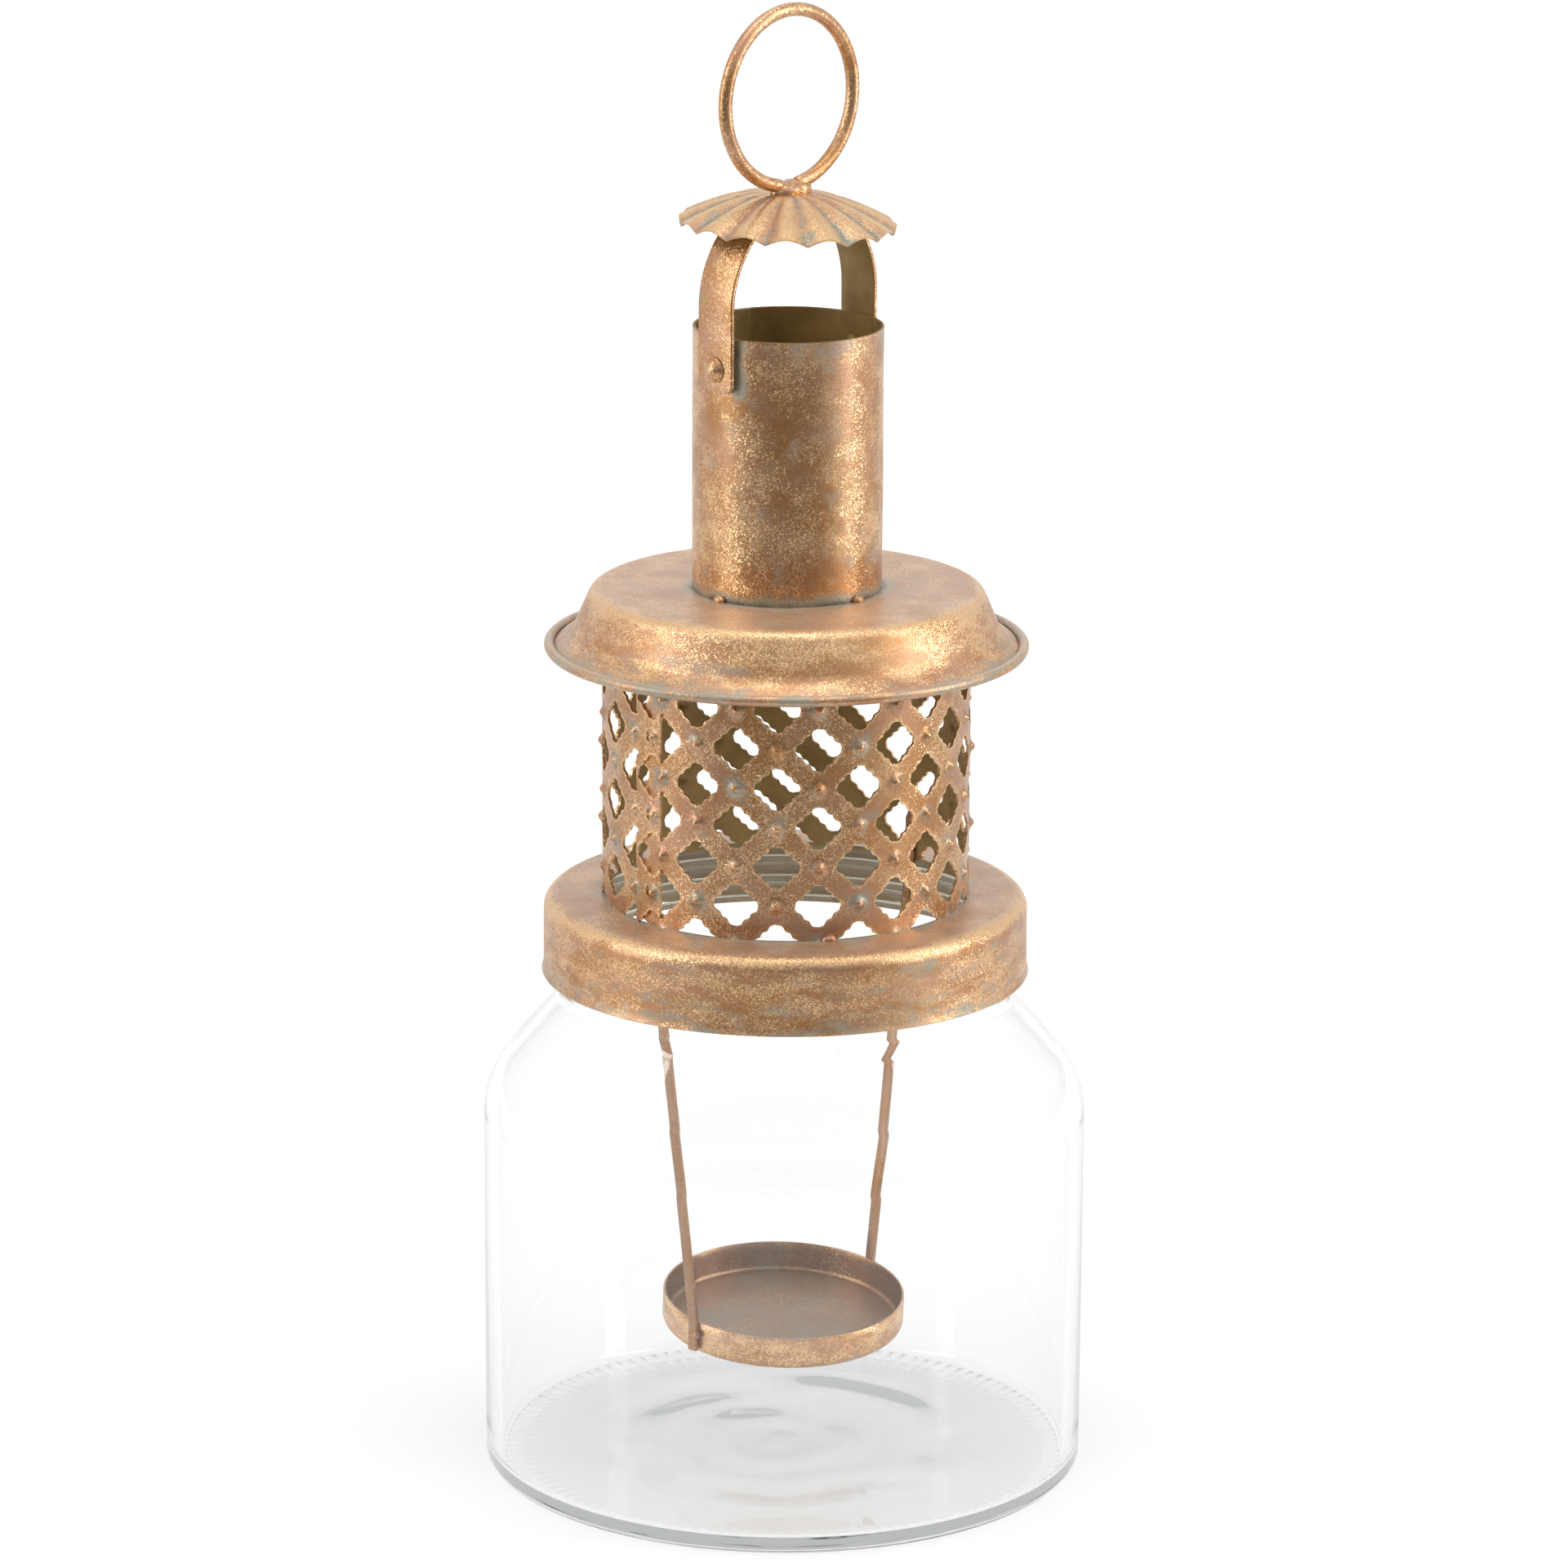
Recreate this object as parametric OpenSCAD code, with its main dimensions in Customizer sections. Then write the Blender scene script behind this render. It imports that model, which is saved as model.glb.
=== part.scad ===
// Candle lantern: a glass jar with a slip-over lid that carries a perforated band, a canopy,
// a chimney with a swinging bail, and a tealight pan hung inside the jar.
// Millimetres, +Z up. The origin is the middle of the jar's foot, and the bail stands in the XZ plane.

/* [Glass jar] */
// Outside diameter of the jar's straight wall
jar_d = 110; // [102:1:130]
// Height of the mouth above the table
jar_h = 107.4; // [98:0.2:140]
// Depth below the mouth at which the shoulder starts to turn in
shoulder_drop = 41.1; // [38:0.1:50]
// Radius of the shoulder
shoulder_r = 17; // [10:0.5:20]
// Slope of the shoulder's straight stretch, from level
shoulder_slope = 48.8; // [40:0.2:56]
// Outside diameter of the neck
neck_d = 81.9; // [78:0.1:88]
// Radius of the hollow between shoulder and neck
neck_fillet_r = 4; // [2:0.5:6]
// Thickness of the glass wall
glass_wall = 2.6; // [2:0.1:3.6]
// Thickness of the glass floor at its middle
glass_floor = 4.2; // [3:0.1:7]
// Radius of the outer heel
heel_r = 4; // [2:0.5:6]
// Radius of the corner between floor and wall inside
floor_corner_r = 7; // [4:0.5:9]
// Rise of the underside above the foot ring
push_up = 2.4; // [1:0.1:4]
// Width of the foot ring that stands on the table
foot_w = 2.5; // [1.5:0.1:4]
// How far the neck's beads stand out
bead_h = 2.2; // [1:0.1:3]
// Radius of a bead's crest
bead_r = 1.3; // [0.8:0.1:1.6]
// Number of beads round the neck
bead_count = 3; // [1:1:3]
// Height from bead to bead
bead_pitch = 3.8; // [3.4:0.1:4.4]
// Depth of the top bead below the mouth
bead_drop = 3.2; // [2.6:0.1:4]
// Radius of the mouth's rounded edges
mouth_round = 1; // [0.5:0.1:1.2]

/* [Lid] */
// Thickness of the sheet metal
sheet = 0.5; // [0.4:0.05:0.7]
// Clearance round the neck's beads inside the cap
lid_clearance = 0.35; // [0.3:0.05:0.8]
// Clearance between the mouth and the cap's plate
lid_seat_gap = 0.1; // [0.05:0.05:0.4]
// Height of the cap
cap_h = 14.4; // [13.5:0.1:20]
// Outer radius of the cap's top corner
cap_corner_r = 2.8; // [1.2:0.1:4]
// Outward flare of the skirt's lower edge
cap_lip = 0.35; // [0.1:0.05:0.8]
// Height of that flare
cap_lip_h = 1.2; // [0.6:0.1:2]

/* [Lattice band] */
// Outside diameter of the band
band_d = 66.8; // [60:0.2:70]
// Height of the band
band_h = 56.4; // [48:0.1:64]
// Number of openings round the band in one row
lattice_columns = 14; // [10:1:16]
// Height from one row to the next staggered row
lattice_rise = 7.15; // [6.6:0.05:8]
// Height of the lowest full row above the band's foot
lattice_foot = 6.25; // [5:0.05:8]
// Turn of the pattern about the axis
lattice_turn = 4.2; // [0:0.1:25]
// Width of the metal strips between openings
lattice_strip = 4.1; // [3:0.1:5.5]
// Width of the small cuts that blunt an opening's tips, as a share of its sides
lattice_blunt = 0.1; // [0.04:0.02:0.2]
// Direction of the side lap's middle
lap_angle = 178.8; // [0:0.1:360]
// Width of the side lap
lap_w = 6.2; // [4:0.1:9]

/* [Canopy] */
// How far the corner of the canopy's flat top stands out past the band
canopy_overhang = 2.7; // [2.2:0.1:4.6]
// Radius of that corner
canopy_corner_r = 2.6; // [1:0.1:2.8]
// Lean of the side from upright
canopy_lean = 23; // [10:0.5:35]
// Height from the top to the middle of the rolled edge
canopy_drop = 10.65; // [9.8:0.05:14]
// Width of the canopy outside that corner
canopy_skirt_w = 7.65; // [7:0.05:10]
// Radius of the hollow between side and brim
brim_r = 5; // [3:0.1:7]
// Slope of the brim from level
brim_slope = 36; // [30:1:42]
// Radius of the edge, rolled up and over
roll_r = 0.95; // [0.8:0.05:1.2]
// Gap between the end of the roll and the brim
roll_gap = 0.12; // [0.06:0.01:0.25]

/* [Chimney] */
// Outside diameter of the chimney
chimney_d = 34.2; // [30:0.2:40]
// Height of the chimney
chimney_h = 47.8; // [35:0.2:70]
// Width of the seam's lap inside the chimney
seam_w = 5; // [3:0.5:8]
// Radius of the solder tacks at the feet of chimney and band
tack_r = 1.5; // [1:0.1:2.2]
// Number of those tacks
tack_count = 4; // [2:1:6]
// Turn of the tacks from the bail's plane
tack_turn = 2; // [0:1:20]

/* [Bail and rivets] */
// Width of the strap
strap_w = 8.5; // [6:0.1:12]
// Thickness of the strap
strap_t = 0.9; // [0.6:0.05:1.5]
// Gap between strap and chimney
strap_gap = 0.2; // [0.1:0.05:0.5]
// Depth of the rivets below the chimney's top
rivet_drop = 5.8; // [4.5:0.1:12]
// Length of the foot below the rivet
strap_foot = 3.9; // [3:0.1:6]
// Radius of the foot's corners
strap_corner_r = 1.5; // [0.5:0.1:2.5]
// Height from the rivet to the start of the arch
strap_leg = 10.8; // [10:0.1:20]
// Diameter of the rivet shank
rivet_d = 2.4; // [1.8:0.1:3.2]
// Running clearance of the strap round the shank
rivet_clearance = 0.05; // [0.02:0.01:0.1]
// Diameter of the rivet head
rivet_head_d = 4.6; // [4:0.1:6]
// Height of the rivet head
rivet_head_h = 1.5; // [1:0.1:2]
// How far the rivet's tail stands past the shank inside
rivet_tail_rim = 0.7; // [0.4:0.1:1.2]
// Height of the rivet's tail
rivet_tail_h = 0.9; // [0.5:0.1:1.2]
// Gap under the rivet head
rivet_head_gap = 0.05; // [0.05:0.05:0.2]

/* [Fluted cap and ring] */
// Diameter of the fluted cap
fluted_d = 38.8; // [30:0.2:44]
// Number of flutes
flute_count = 16; // [12:1:20]
// Height of a flute at the rim, crest to hollow
flute_h = 1.2; // [0.6:0.1:2.4]
// Drop from crown to rim
fluted_drop = 5.6; // [4:0.1:7]
// Plain edge of the crown past the strap
crown_edge = 0.5; // [0.4:0.1:2]
// Outside diameter of the hanging ring
ring_d = 33.8; // [26:0.2:46]
// Diameter of the ring's wire
ring_wire = 2.5; // [2:0.1:4]
// Radius of the braze under the ring
braze_r = 2.5; // [2:0.1:3.5]
// Height of that braze
braze_h = 1.7; // [1:0.1:2.4]
// Clearance between pieces that are brazed or tacked together
joint_gap = 0.05; // [0.02:0.01:0.1]

/* [Tealight pan and hangers] */
// Inside diameter of the pan
pan_in_d = 43.6; // [40:0.2:50]
// Height of the pan
pan_h = 6.2; // [5:0.1:12]
// Height of the pan's underside above the table
pan_z = 25.4; // [14:0.1:40]
// Inside radius of the pan's corner
pan_corner_r = 1; // [0.6:0.1:2]
// Lean of the hung pan about the line through its two hangers
pan_lean = 4.6; // [0:0.2:8]
// Lean of the hung pan along that line
pan_side_lean = 2.2; // [0:0.2:4]
// Width of a hanger strip
hanger_w = 2; // [1.6:0.1:4]
// Thickness of a hanger strip
hanger_t = 0.85; // [0.6:0.05:1.2]
// Length of hanger soldered up the inside of the band
hanger_lap = 9.5; // [6:0.1:14]
// Length of the hangers' pointed upper ends
hanger_point = 2; // [0:0.5:4]
// Radius of the tacks that hold the hangers
hanger_tack_r = 1; // [0.7:0.1:1.3]

/* [Hidden] */

antique_gold = "#b08447";
clear_glass = "#dfe9e8";
solder_grey = "#8f8468";

$fn = 96;          // smoothness of round forms
arc_steps = 8;     // chords in a rounded corner of a profile
roll_steps = 24;   // chords in the canopy's rolled edge
eps = 0.01;        // overlap of a cutter past a face
far = 200;         // longer than any piece
lattice_reach = 3 * sheet;      // length of an opening's cutter
lap_bite = sheet / 4;           // how far a lapped layer is fused into the one under it
band_tack_count = 3;
seam_angle = 79;   // direction of the chimney's inner seam

// Radii
jar_r = jar_d / 2;
neck_r = neck_d / 2;
bead_out_r = neck_r + bead_h;
cap_in_r = bead_out_r + lid_clearance;
cap_r = cap_in_r + sheet;
band_r = band_d / 2;
band_in_r = band_r - sheet;
chimney_r = chimney_d / 2;
chimney_in_r = chimney_r - sheet;
pan_in_r = pan_in_d / 2;
pan_r = pan_in_r + sheet;
strap_in_r = chimney_r + strap_gap;
strap_r = strap_in_r + strap_t;
crown_r = strap_w / 2 + crown_edge;

// Levels
plate_z = jar_h + lid_seat_gap;
cap_top_z = plate_z + sheet;
cap_foot_z = cap_top_z - cap_h;
canopy_under_z = cap_top_z + band_h;
canopy_top_z = canopy_under_z + sheet;
chimney_top_z = canopy_top_z + chimney_h;
rivet_z = chimney_top_z - rivet_drop;
arch_z = rivet_z + strap_leg;
crown_under_z = arch_z + strap_r + joint_gap;
crown_z = crown_under_z + sheet;
ring_z = crown_z + joint_gap + ring_d / 2;
pan_rim_z = pan_z + pan_h;
pan_middle_z = pan_z + pan_h / 2;

// Points along an arc of radius r about (x, y), from angle a to angle b
function arc(x, y, r, a, b, steps = arc_steps) =
    [for (i = [0:steps]) let (t = a + (b - a) * i / steps) [x + r * cos(t), y + r * sin(t)]];

// Where the shoulder's straight stretch and the hollow above it lie
slope_angle = 90 - shoulder_slope;
shoulder_start = jar_h - shoulder_drop;
shoulder_x = jar_r - shoulder_r;
cone_distance = shoulder_x * cos(slope_angle) + shoulder_start * sin(slope_angle) + shoulder_r;
neck_fillet_x = neck_r + neck_fillet_r;
neck_fillet_z = (cone_distance + neck_fillet_r - neck_fillet_x * cos(slope_angle)) / sin(slope_angle);

module jar_profile() {
    floor_z = push_up + glass_floor;
    inner_r = jar_r - glass_wall;
    mouth_r = neck_r - glass_wall;
    polygon(concat(
        [[0, push_up]],
        arc(jar_r - heel_r - foot_w - push_up, 0, push_up, 90, 0),
        arc(jar_r - heel_r, heel_r, heel_r, -90, 0),
        arc(shoulder_x, shoulder_start, shoulder_r, 0, slope_angle),
        arc(neck_fillet_x, neck_fillet_z, neck_fillet_r, 180 + slope_angle, 180),
        arc(neck_r - mouth_round, jar_h - mouth_round, mouth_round, 0, 90),
        arc(mouth_r + mouth_round, jar_h - mouth_round, mouth_round, 90, 180),
        arc(neck_fillet_x, neck_fillet_z, neck_fillet_r + glass_wall, 180, 180 + slope_angle),
        arc(shoulder_x, shoulder_start, shoulder_r - glass_wall, slope_angle, 0),
        arc(inner_r - floor_corner_r, floor_z + floor_corner_r, floor_corner_r, 0, -90),
        [[0, floor_z]]));
}

module glass_jar() {
    color(clear_glass, 0.35) rotate_extrude() {
        jar_profile();
        for (i = [0:bead_count - 1])
            translate([bead_out_r - bead_r, jar_h - bead_drop - i * bead_pitch])
                circle(r = bead_r, $fn = 32);
    }
}

module cap_shell() {
    corner_in_r = cap_corner_r - sheet;
    color(antique_gold) rotate_extrude() polygon(concat(
        [[band_in_r, cap_top_z]],
        arc(cap_r - cap_corner_r, cap_top_z - cap_corner_r, cap_corner_r, 90, 0),
        [[cap_r, cap_foot_z + cap_lip_h], [cap_r + cap_lip, cap_foot_z],
         [cap_in_r + cap_lip, cap_foot_z], [cap_in_r, cap_foot_z + cap_lip_h]],
        arc(cap_r - cap_corner_r, cap_top_z - cap_corner_r, corner_in_r, 0, 90),
        [[band_in_r, plate_z]]));
}

// One lattice opening: a diamond with blunt tips, flat in the XY plane
module lattice_opening() {
    pitch = 360 / lattice_columns * band_r * PI / 180;
    half_w = pitch / 2 - lattice_strip / sqrt(2);
    half_h = lattice_rise - lattice_strip / sqrt(2);
    tips = [[half_w, 0], [0, half_h], [-half_w, 0], [0, -half_h]];
    polygon([for (i = [0:3], t = [lattice_blunt, 1 - lattice_blunt])
        tips[i] * (1 - t) + tips[(i + 1) % 4] * t]);
}

// The openings of the listed columns, cut outwards from radius r and turned by an angle
module lattice_openings(r, turn, columns) {
    rows = ceil((band_h - lattice_foot) / lattice_rise);
    for (row = [-1:rows - 1], column = columns)
        rotate(turn + (column + (row % 2 == 0 ? 0 : 0.5)) * 360 / lattice_columns)
            translate([r, 0, cap_top_z + lattice_foot + row * lattice_rise])
                rotate([90, 0, 90]) linear_extrude(lattice_reach) lattice_opening();
}

// The strip's free end, lapped over its start with the openings out of step
module band_lap() {
    lap_turn = lap_w / band_r * 180 / PI;
    difference() {
        rotate(lap_angle - lap_turn / 2) rotate_extrude(angle = lap_turn)
            translate([band_r - lap_bite, cap_top_z]) square([sheet + lap_bite, band_h]);
        lattice_openings(band_r - sheet, lap_angle - lap_turn, [0:1]);
    }
}

module lattice_band() {
    color(antique_gold) union() {
        difference() {
            translate([0, 0, cap_top_z]) cylinder(r = band_r, h = band_h);
            translate([0, 0, cap_top_z - eps]) cylinder(r = band_in_r, h = band_h + 2 * eps);
            lattice_openings(band_in_r - sheet, lattice_turn, [0:lattice_columns - 1]);
        }
        band_lap();
    }
}

// A low round dome standing on the XY plane
module dome(r, h) {
    ball_r = (r * r + h * h) / (2 * h);
    intersection() {
        translate([0, 0, h - ball_r]) sphere(r = ball_r);
        cylinder(r = r, h = h);
    }
}

// A bead of solder in the corner between an upright tube of radius r and the floor it stands on
module foot_tack(r, size, floor_z) {
    difference() {
        translate([r, 0, floor_z]) sphere(r = size, $fn = 32);
        translate([0, 0, floor_z - far]) cylinder(r = far, h = far);
        translate([0, 0, floor_z - size]) cylinder(r = r, h = 3 * size);
    }
}

module band_tacks() {
    color(solder_grey) for (i = [0:band_tack_count - 1])
        rotate(lap_angle + (i + 0.5) * 360 / band_tack_count)
            foot_tack(band_r, tack_r, cap_top_z);
}

module canopy() {
    corner_x = band_r + canopy_overhang - canopy_corner_r;
    corner_z = canopy_top_z - canopy_corner_r;
    roll_x = band_r + canopy_overhang + canopy_skirt_w - roll_r;
    roll_z = canopy_top_z - canopy_drop;
    roll_in_r = roll_r - sheet;
    brim_angle = 90 - brim_slope;
    roll_start = brim_angle - 180;
    roll_end = brim_angle + acos((roll_gap - roll_in_r) / roll_r);
    // The hollow touches the leaning side and the brim, which runs under the rolled edge
    side_distance = corner_x * cos(canopy_lean) + corner_z * sin(canopy_lean) + canopy_corner_r + brim_r;
    brim_distance = roll_x * cos(brim_angle) + roll_z * sin(brim_angle) - roll_in_r + brim_r;
    across = sin(brim_angle - canopy_lean);
    hollow_x = (side_distance * sin(brim_angle) - brim_distance * sin(canopy_lean)) / across;
    hollow_z = (brim_distance * cos(canopy_lean) - side_distance * cos(brim_angle)) / across;
    color(antique_gold) rotate_extrude() polygon(concat(
        [[chimney_in_r, canopy_top_z]],
        arc(corner_x, corner_z, canopy_corner_r, 90, canopy_lean),
        arc(hollow_x, hollow_z, brim_r, 180 + canopy_lean, 180 + brim_angle),
        arc(roll_x, roll_z, roll_in_r, roll_start, roll_end, roll_steps),
        arc(roll_x, roll_z, roll_r, roll_end, roll_start, roll_steps),
        arc(hollow_x, hollow_z, brim_r + sheet, 180 + brim_angle, 180 + canopy_lean),
        arc(corner_x, corner_z, canopy_corner_r - sheet, canopy_lean, 90),
        [[chimney_in_r, canopy_under_z]]));
}

// A round hole or shank through both sides of the chimney, along X
module rivet_bore(r) {
    translate([-far / 2, 0, rivet_z]) rotate([0, 90, 0]) cylinder(r = r, h = far);
}

module chimney_tube() {
    seam_turn = seam_w / chimney_in_r * 180 / PI;
    color(antique_gold) difference() {
        union() {
            rotate_extrude() translate([chimney_in_r, canopy_top_z]) square([sheet, chimney_h]);
            rotate(seam_angle - seam_turn / 2) rotate_extrude(angle = seam_turn)
                translate([chimney_in_r - sheet, canopy_top_z]) square([sheet + lap_bite, chimney_h]);
        }
        rivet_bore(rivet_d / 2 + joint_gap);
    }
}

module chimney_tacks() {
    color(solder_grey) for (i = [0:tack_count - 1])
        rotate(tack_turn + i * 360 / tack_count)
            foot_tack(chimney_r, tack_r, canopy_top_z);
}

module bail_rivets() {
    head_x = strap_r + rivet_head_gap;
    tail_r = rivet_d / 2 + rivet_tail_rim;
    tail_x = sqrt(chimney_in_r * chimney_in_r - tail_r * tail_r) - joint_gap;
    shank_bite = rivet_tail_h / 3;
    color(antique_gold) for (side = [0, 180])
        rotate(side) translate([0, 0, rivet_z]) {
            translate([tail_x - shank_bite, 0, 0]) rotate([0, 90, 0])
                cylinder(d = rivet_d, h = head_x - tail_x + 2 * shank_bite);
            translate([head_x, 0, 0]) rotate([0, 90, 0]) dome(rivet_head_d / 2, rivet_head_h);
            translate([tail_x, 0, 0]) rotate([0, -90, 0]) dome(tail_r, rivet_tail_h);
        }
}

// Everything inside a bail of radius r, seen along Y
module bail_outline(r) {
    foot_z = rivet_z - strap_foot;
    translate([0, arch_z]) circle(r = r);
    translate([-r, foot_z]) square([2 * r, arch_z - foot_z]);
}

module bail_strap() {
    foot_z = rivet_z - strap_foot;
    half_w = strap_w / 2;
    color(antique_gold) difference() {
        intersection() {
            translate([0, half_w, 0]) rotate([90, 0, 0]) linear_extrude(strap_w) difference() {
                bail_outline(strap_r);
                translate([0, -far]) square([2 * strap_in_r, 2 * far], center = true);
                bail_outline(strap_in_r);
            }
            translate([-far / 2, 0, 0]) rotate([90, 0, 90]) linear_extrude(far) polygon(concat(
                arc(half_w - strap_corner_r, foot_z + strap_corner_r, strap_corner_r, 0, -90),
                arc(strap_corner_r - half_w, foot_z + strap_corner_r, strap_corner_r, -90, -180),
                [[-half_w, far * 2], [half_w, far * 2]]));
        }
        rivet_bore(rivet_d / 2 + rivet_clearance);
    }
}

// Height of the fluted cap's underside at a radius and a direction
function fluted_z(r, direction) =
    let (s = max(0, r - crown_r) / (fluted_d / 2 - crown_r))
    crown_under_z - fluted_drop * pow(s, 1.5) + flute_h / 2 * pow(s, 0.8) * cos(flute_count * direction);

module fluted_cap() {
    spokes = flute_count * 6;
    rings = 7;
    ring_radius = concat([crown_r / 2], [for (i = [0:rings - 2])
        crown_r + (fluted_d / 2 - crown_r) * i / (rings - 2)]);
    skin = [for (r = ring_radius, k = [0:spokes - 1]) let (a = k * 360 / spokes)
        [r * cos(a), r * sin(a), fluted_z(r, a)]];
    count = len(skin);
    points = concat(skin, [for (p = skin) p + [0, 0, sheet]],
                    [[0, 0, crown_under_z], [0, 0, crown_z]]);
    low_centre = 2 * count;
    high_centre = low_centre + 1;
    edge = (rings - 1) * spokes;
    // The corners of patch k in ring i, on the skin that starts at point base
    function corner(base, i, k) = base + i * spokes + k % spokes;
    color(antique_gold) polyhedron(points, concat(
        [for (k = [0:spokes - 1]) [low_centre, corner(0, 0, k), corner(0, 0, k + 1)]],
        [for (k = [0:spokes - 1]) [high_centre, corner(count, 0, k + 1), corner(count, 0, k)]],
        [for (i = [0:rings - 2], k = [0:spokes - 1])
            [corner(0, i, k), corner(0, i + 1, k), corner(0, i + 1, k + 1)]],
        [for (i = [0:rings - 2], k = [0:spokes - 1])
            [corner(0, i, k), corner(0, i + 1, k + 1), corner(0, i, k + 1)]],
        [for (i = [0:rings - 2], k = [0:spokes - 1])
            [corner(count, i, k), corner(count, i + 1, k + 1), corner(count, i + 1, k)]],
        [for (i = [0:rings - 2], k = [0:spokes - 1])
            [corner(count, i, k), corner(count, i, k + 1), corner(count, i + 1, k + 1)]],
        [for (k = [0:spokes - 1])
            [corner(edge, 0, k), corner(count + edge, 0, k), corner(count + edge, 0, k + 1)]],
        [for (k = [0:spokes - 1])
            [corner(edge, 0, k), corner(count + edge, 0, k + 1), corner(edge, 0, k + 1)]]));
}

module ring_solid() {
    translate([0, 0, ring_z]) rotate([90, 0, 0]) rotate_extrude()
        translate([ring_d / 2 - ring_wire / 2, 0]) circle(d = ring_wire, $fn = 48);
}

module hang_ring() {
    color(antique_gold) ring_solid();
}

module ring_braze() {
    color(solder_grey) difference() {
        translate([0, 0, crown_z]) dome(braze_r, braze_h);
        ring_solid();
    }
}

// Leans what is drawn upright on the axis as the hung pan leans, about the pan's middle
module lean_as_pan() {
    translate([0, 0, pan_middle_z]) rotate([pan_lean, -pan_side_lean, 0]) translate([0, 0, -pan_middle_z])
        children();
}

// Hanger on the +X side: up the inside of the band, down through the mouth, down the pan's wall
module hanger() {
    half_w = hanger_w / 2;
    top_x = sqrt(band_in_r * band_in_r - half_w * half_w) - joint_gap;
    pan_x = pan_r + pan_h / 2 * sin(pan_side_lean) + joint_gap;
    top_z = cap_top_z + hanger_lap;
    intersection() {
        translate([0, half_w, 0]) rotate([90, 0, 0]) linear_extrude(hanger_w) polygon([
            [top_x, top_z], [top_x, plate_z], [pan_x + hanger_t, pan_rim_z], [pan_x + hanger_t, pan_z],
            [pan_x, pan_z], [pan_x, pan_rim_z], [top_x - hanger_t, plate_z], [top_x - hanger_t, top_z]]);
        rotate([90, 0, 90]) linear_extrude(far) polygon([
            [-half_w, pan_z], [half_w, pan_z], [half_w, top_z - hanger_point], [0, top_z],
            [-half_w, top_z - hanger_point]]);
    }
}

module hanger_left() {
    color(antique_gold) rotate(180) hanger();
}

module hanger_right() {
    color(antique_gold) hanger();
}

module hanger_tacks() {
    side_y = hanger_w / 2;
    color(solder_grey) difference() {
        union() {
            for (side = [0, 180]) rotate(side) {
                intersection() {
                    translate([band_in_r - hanger_t, side_y, cap_top_z + hanger_tack_r])
                        sphere(r = hanger_tack_r, $fn = 32);
                    translate([0, 0, cap_top_z]) cylinder(r = band_in_r, h = band_h);
                }
                translate([pan_r + hanger_t, side_y, pan_middle_z]) sphere(r = hanger_tack_r, $fn = 32);
            }
        }
        hanger();
        rotate(180) hanger();
        lean_as_pan() translate([0, 0, pan_z]) cylinder(r = pan_r, h = pan_h);
    }
}

module tealight_pan() {
    corner_r = pan_corner_r + sheet;
    corner_z = pan_z + corner_r;
    color(antique_gold) lean_as_pan() rotate_extrude() polygon(concat(
        [[0, pan_z]],
        arc(pan_in_r - pan_corner_r, corner_z, corner_r, -90, 0),
        [[pan_r, pan_rim_z], [pan_in_r, pan_rim_z]],
        arc(pan_in_r - pan_corner_r, corner_z, pan_corner_r, 0, -90),
        [[0, pan_z + sheet]]));
}

glass_jar();
cap_shell();
lattice_band();
band_tacks();
canopy();
chimney_tube();
chimney_tacks();
bail_rivets();
bail_strap();
fluted_cap();
hang_ring();
ring_braze();
hanger_left();
hanger_right();
hanger_tacks();
tealight_pan();
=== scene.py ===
# %% [markdown]
# # A jar lantern in antique gold
# The lantern is a clear glass jar under a lid of thin sheet metal. The lid carries a band of
# perforated strip, a dish-shaped canopy, a chimney with a riveted bail and a hanging ring, and
# two strips that hold a tealight pan inside the jar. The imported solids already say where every
# piece is and how it moves, so each cell takes its sizes from them and adds shape and finish.
# Sizes are in millimetres and are turned to Blender's metres where a mesh or a node takes them.

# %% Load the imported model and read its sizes
import math

import bmesh
import bpy
import numpy as np
from mathutils import Matrix, Vector, noise


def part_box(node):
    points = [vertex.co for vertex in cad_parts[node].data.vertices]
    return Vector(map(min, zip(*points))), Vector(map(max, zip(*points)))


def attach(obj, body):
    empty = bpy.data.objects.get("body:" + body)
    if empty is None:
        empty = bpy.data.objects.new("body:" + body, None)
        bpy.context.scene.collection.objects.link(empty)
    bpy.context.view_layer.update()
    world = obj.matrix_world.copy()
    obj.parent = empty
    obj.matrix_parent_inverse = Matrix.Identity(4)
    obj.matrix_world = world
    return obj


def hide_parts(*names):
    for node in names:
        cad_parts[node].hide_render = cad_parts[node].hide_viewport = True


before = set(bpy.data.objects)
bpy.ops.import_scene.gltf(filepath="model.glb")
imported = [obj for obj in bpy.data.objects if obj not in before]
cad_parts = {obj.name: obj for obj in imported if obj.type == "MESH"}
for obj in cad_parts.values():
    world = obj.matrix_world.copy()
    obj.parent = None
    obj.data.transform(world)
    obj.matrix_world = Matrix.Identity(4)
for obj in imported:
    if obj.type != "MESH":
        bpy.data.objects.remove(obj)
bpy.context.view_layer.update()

MM = 0.001
print("solids:", ", ".join(sorted(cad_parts)))


def span(node):
    """Lowest and highest corner of a solid, in millimetres."""
    low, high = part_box(node)
    return np.array(low) / MM, np.array(high) / MM


# %% [markdown]
# ## The camera
# A long lens a good metre away keeps the upright sides of the lantern nearly parallel. The camera
# looks down by 15 degrees, so that the rims show as narrow ellipses, and it stands at the left
# front, where the bail's flat strap is seen at an angle. Its place is written as a distance, a
# height and a direction round the lantern, which is easier to adjust than a matrix.

# %% Camera
VIEW_TURN = math.radians(-44.5)
VIEW_DOWN = math.radians(14.994)
VIEW_ROLL = math.radians(0.297)
VIEW_DISTANCE, VIEW_HEIGHT, VIEW_SIDE = 1213.4, 452.95, -0.35
LENS, SENSOR = 159.18, 36


def linked(name, data):
    """An object in the scene for a mesh, a lamp or a camera."""
    thing = bpy.data.objects.new(name, data)
    bpy.context.scene.collection.objects.link(thing)
    return thing


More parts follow.
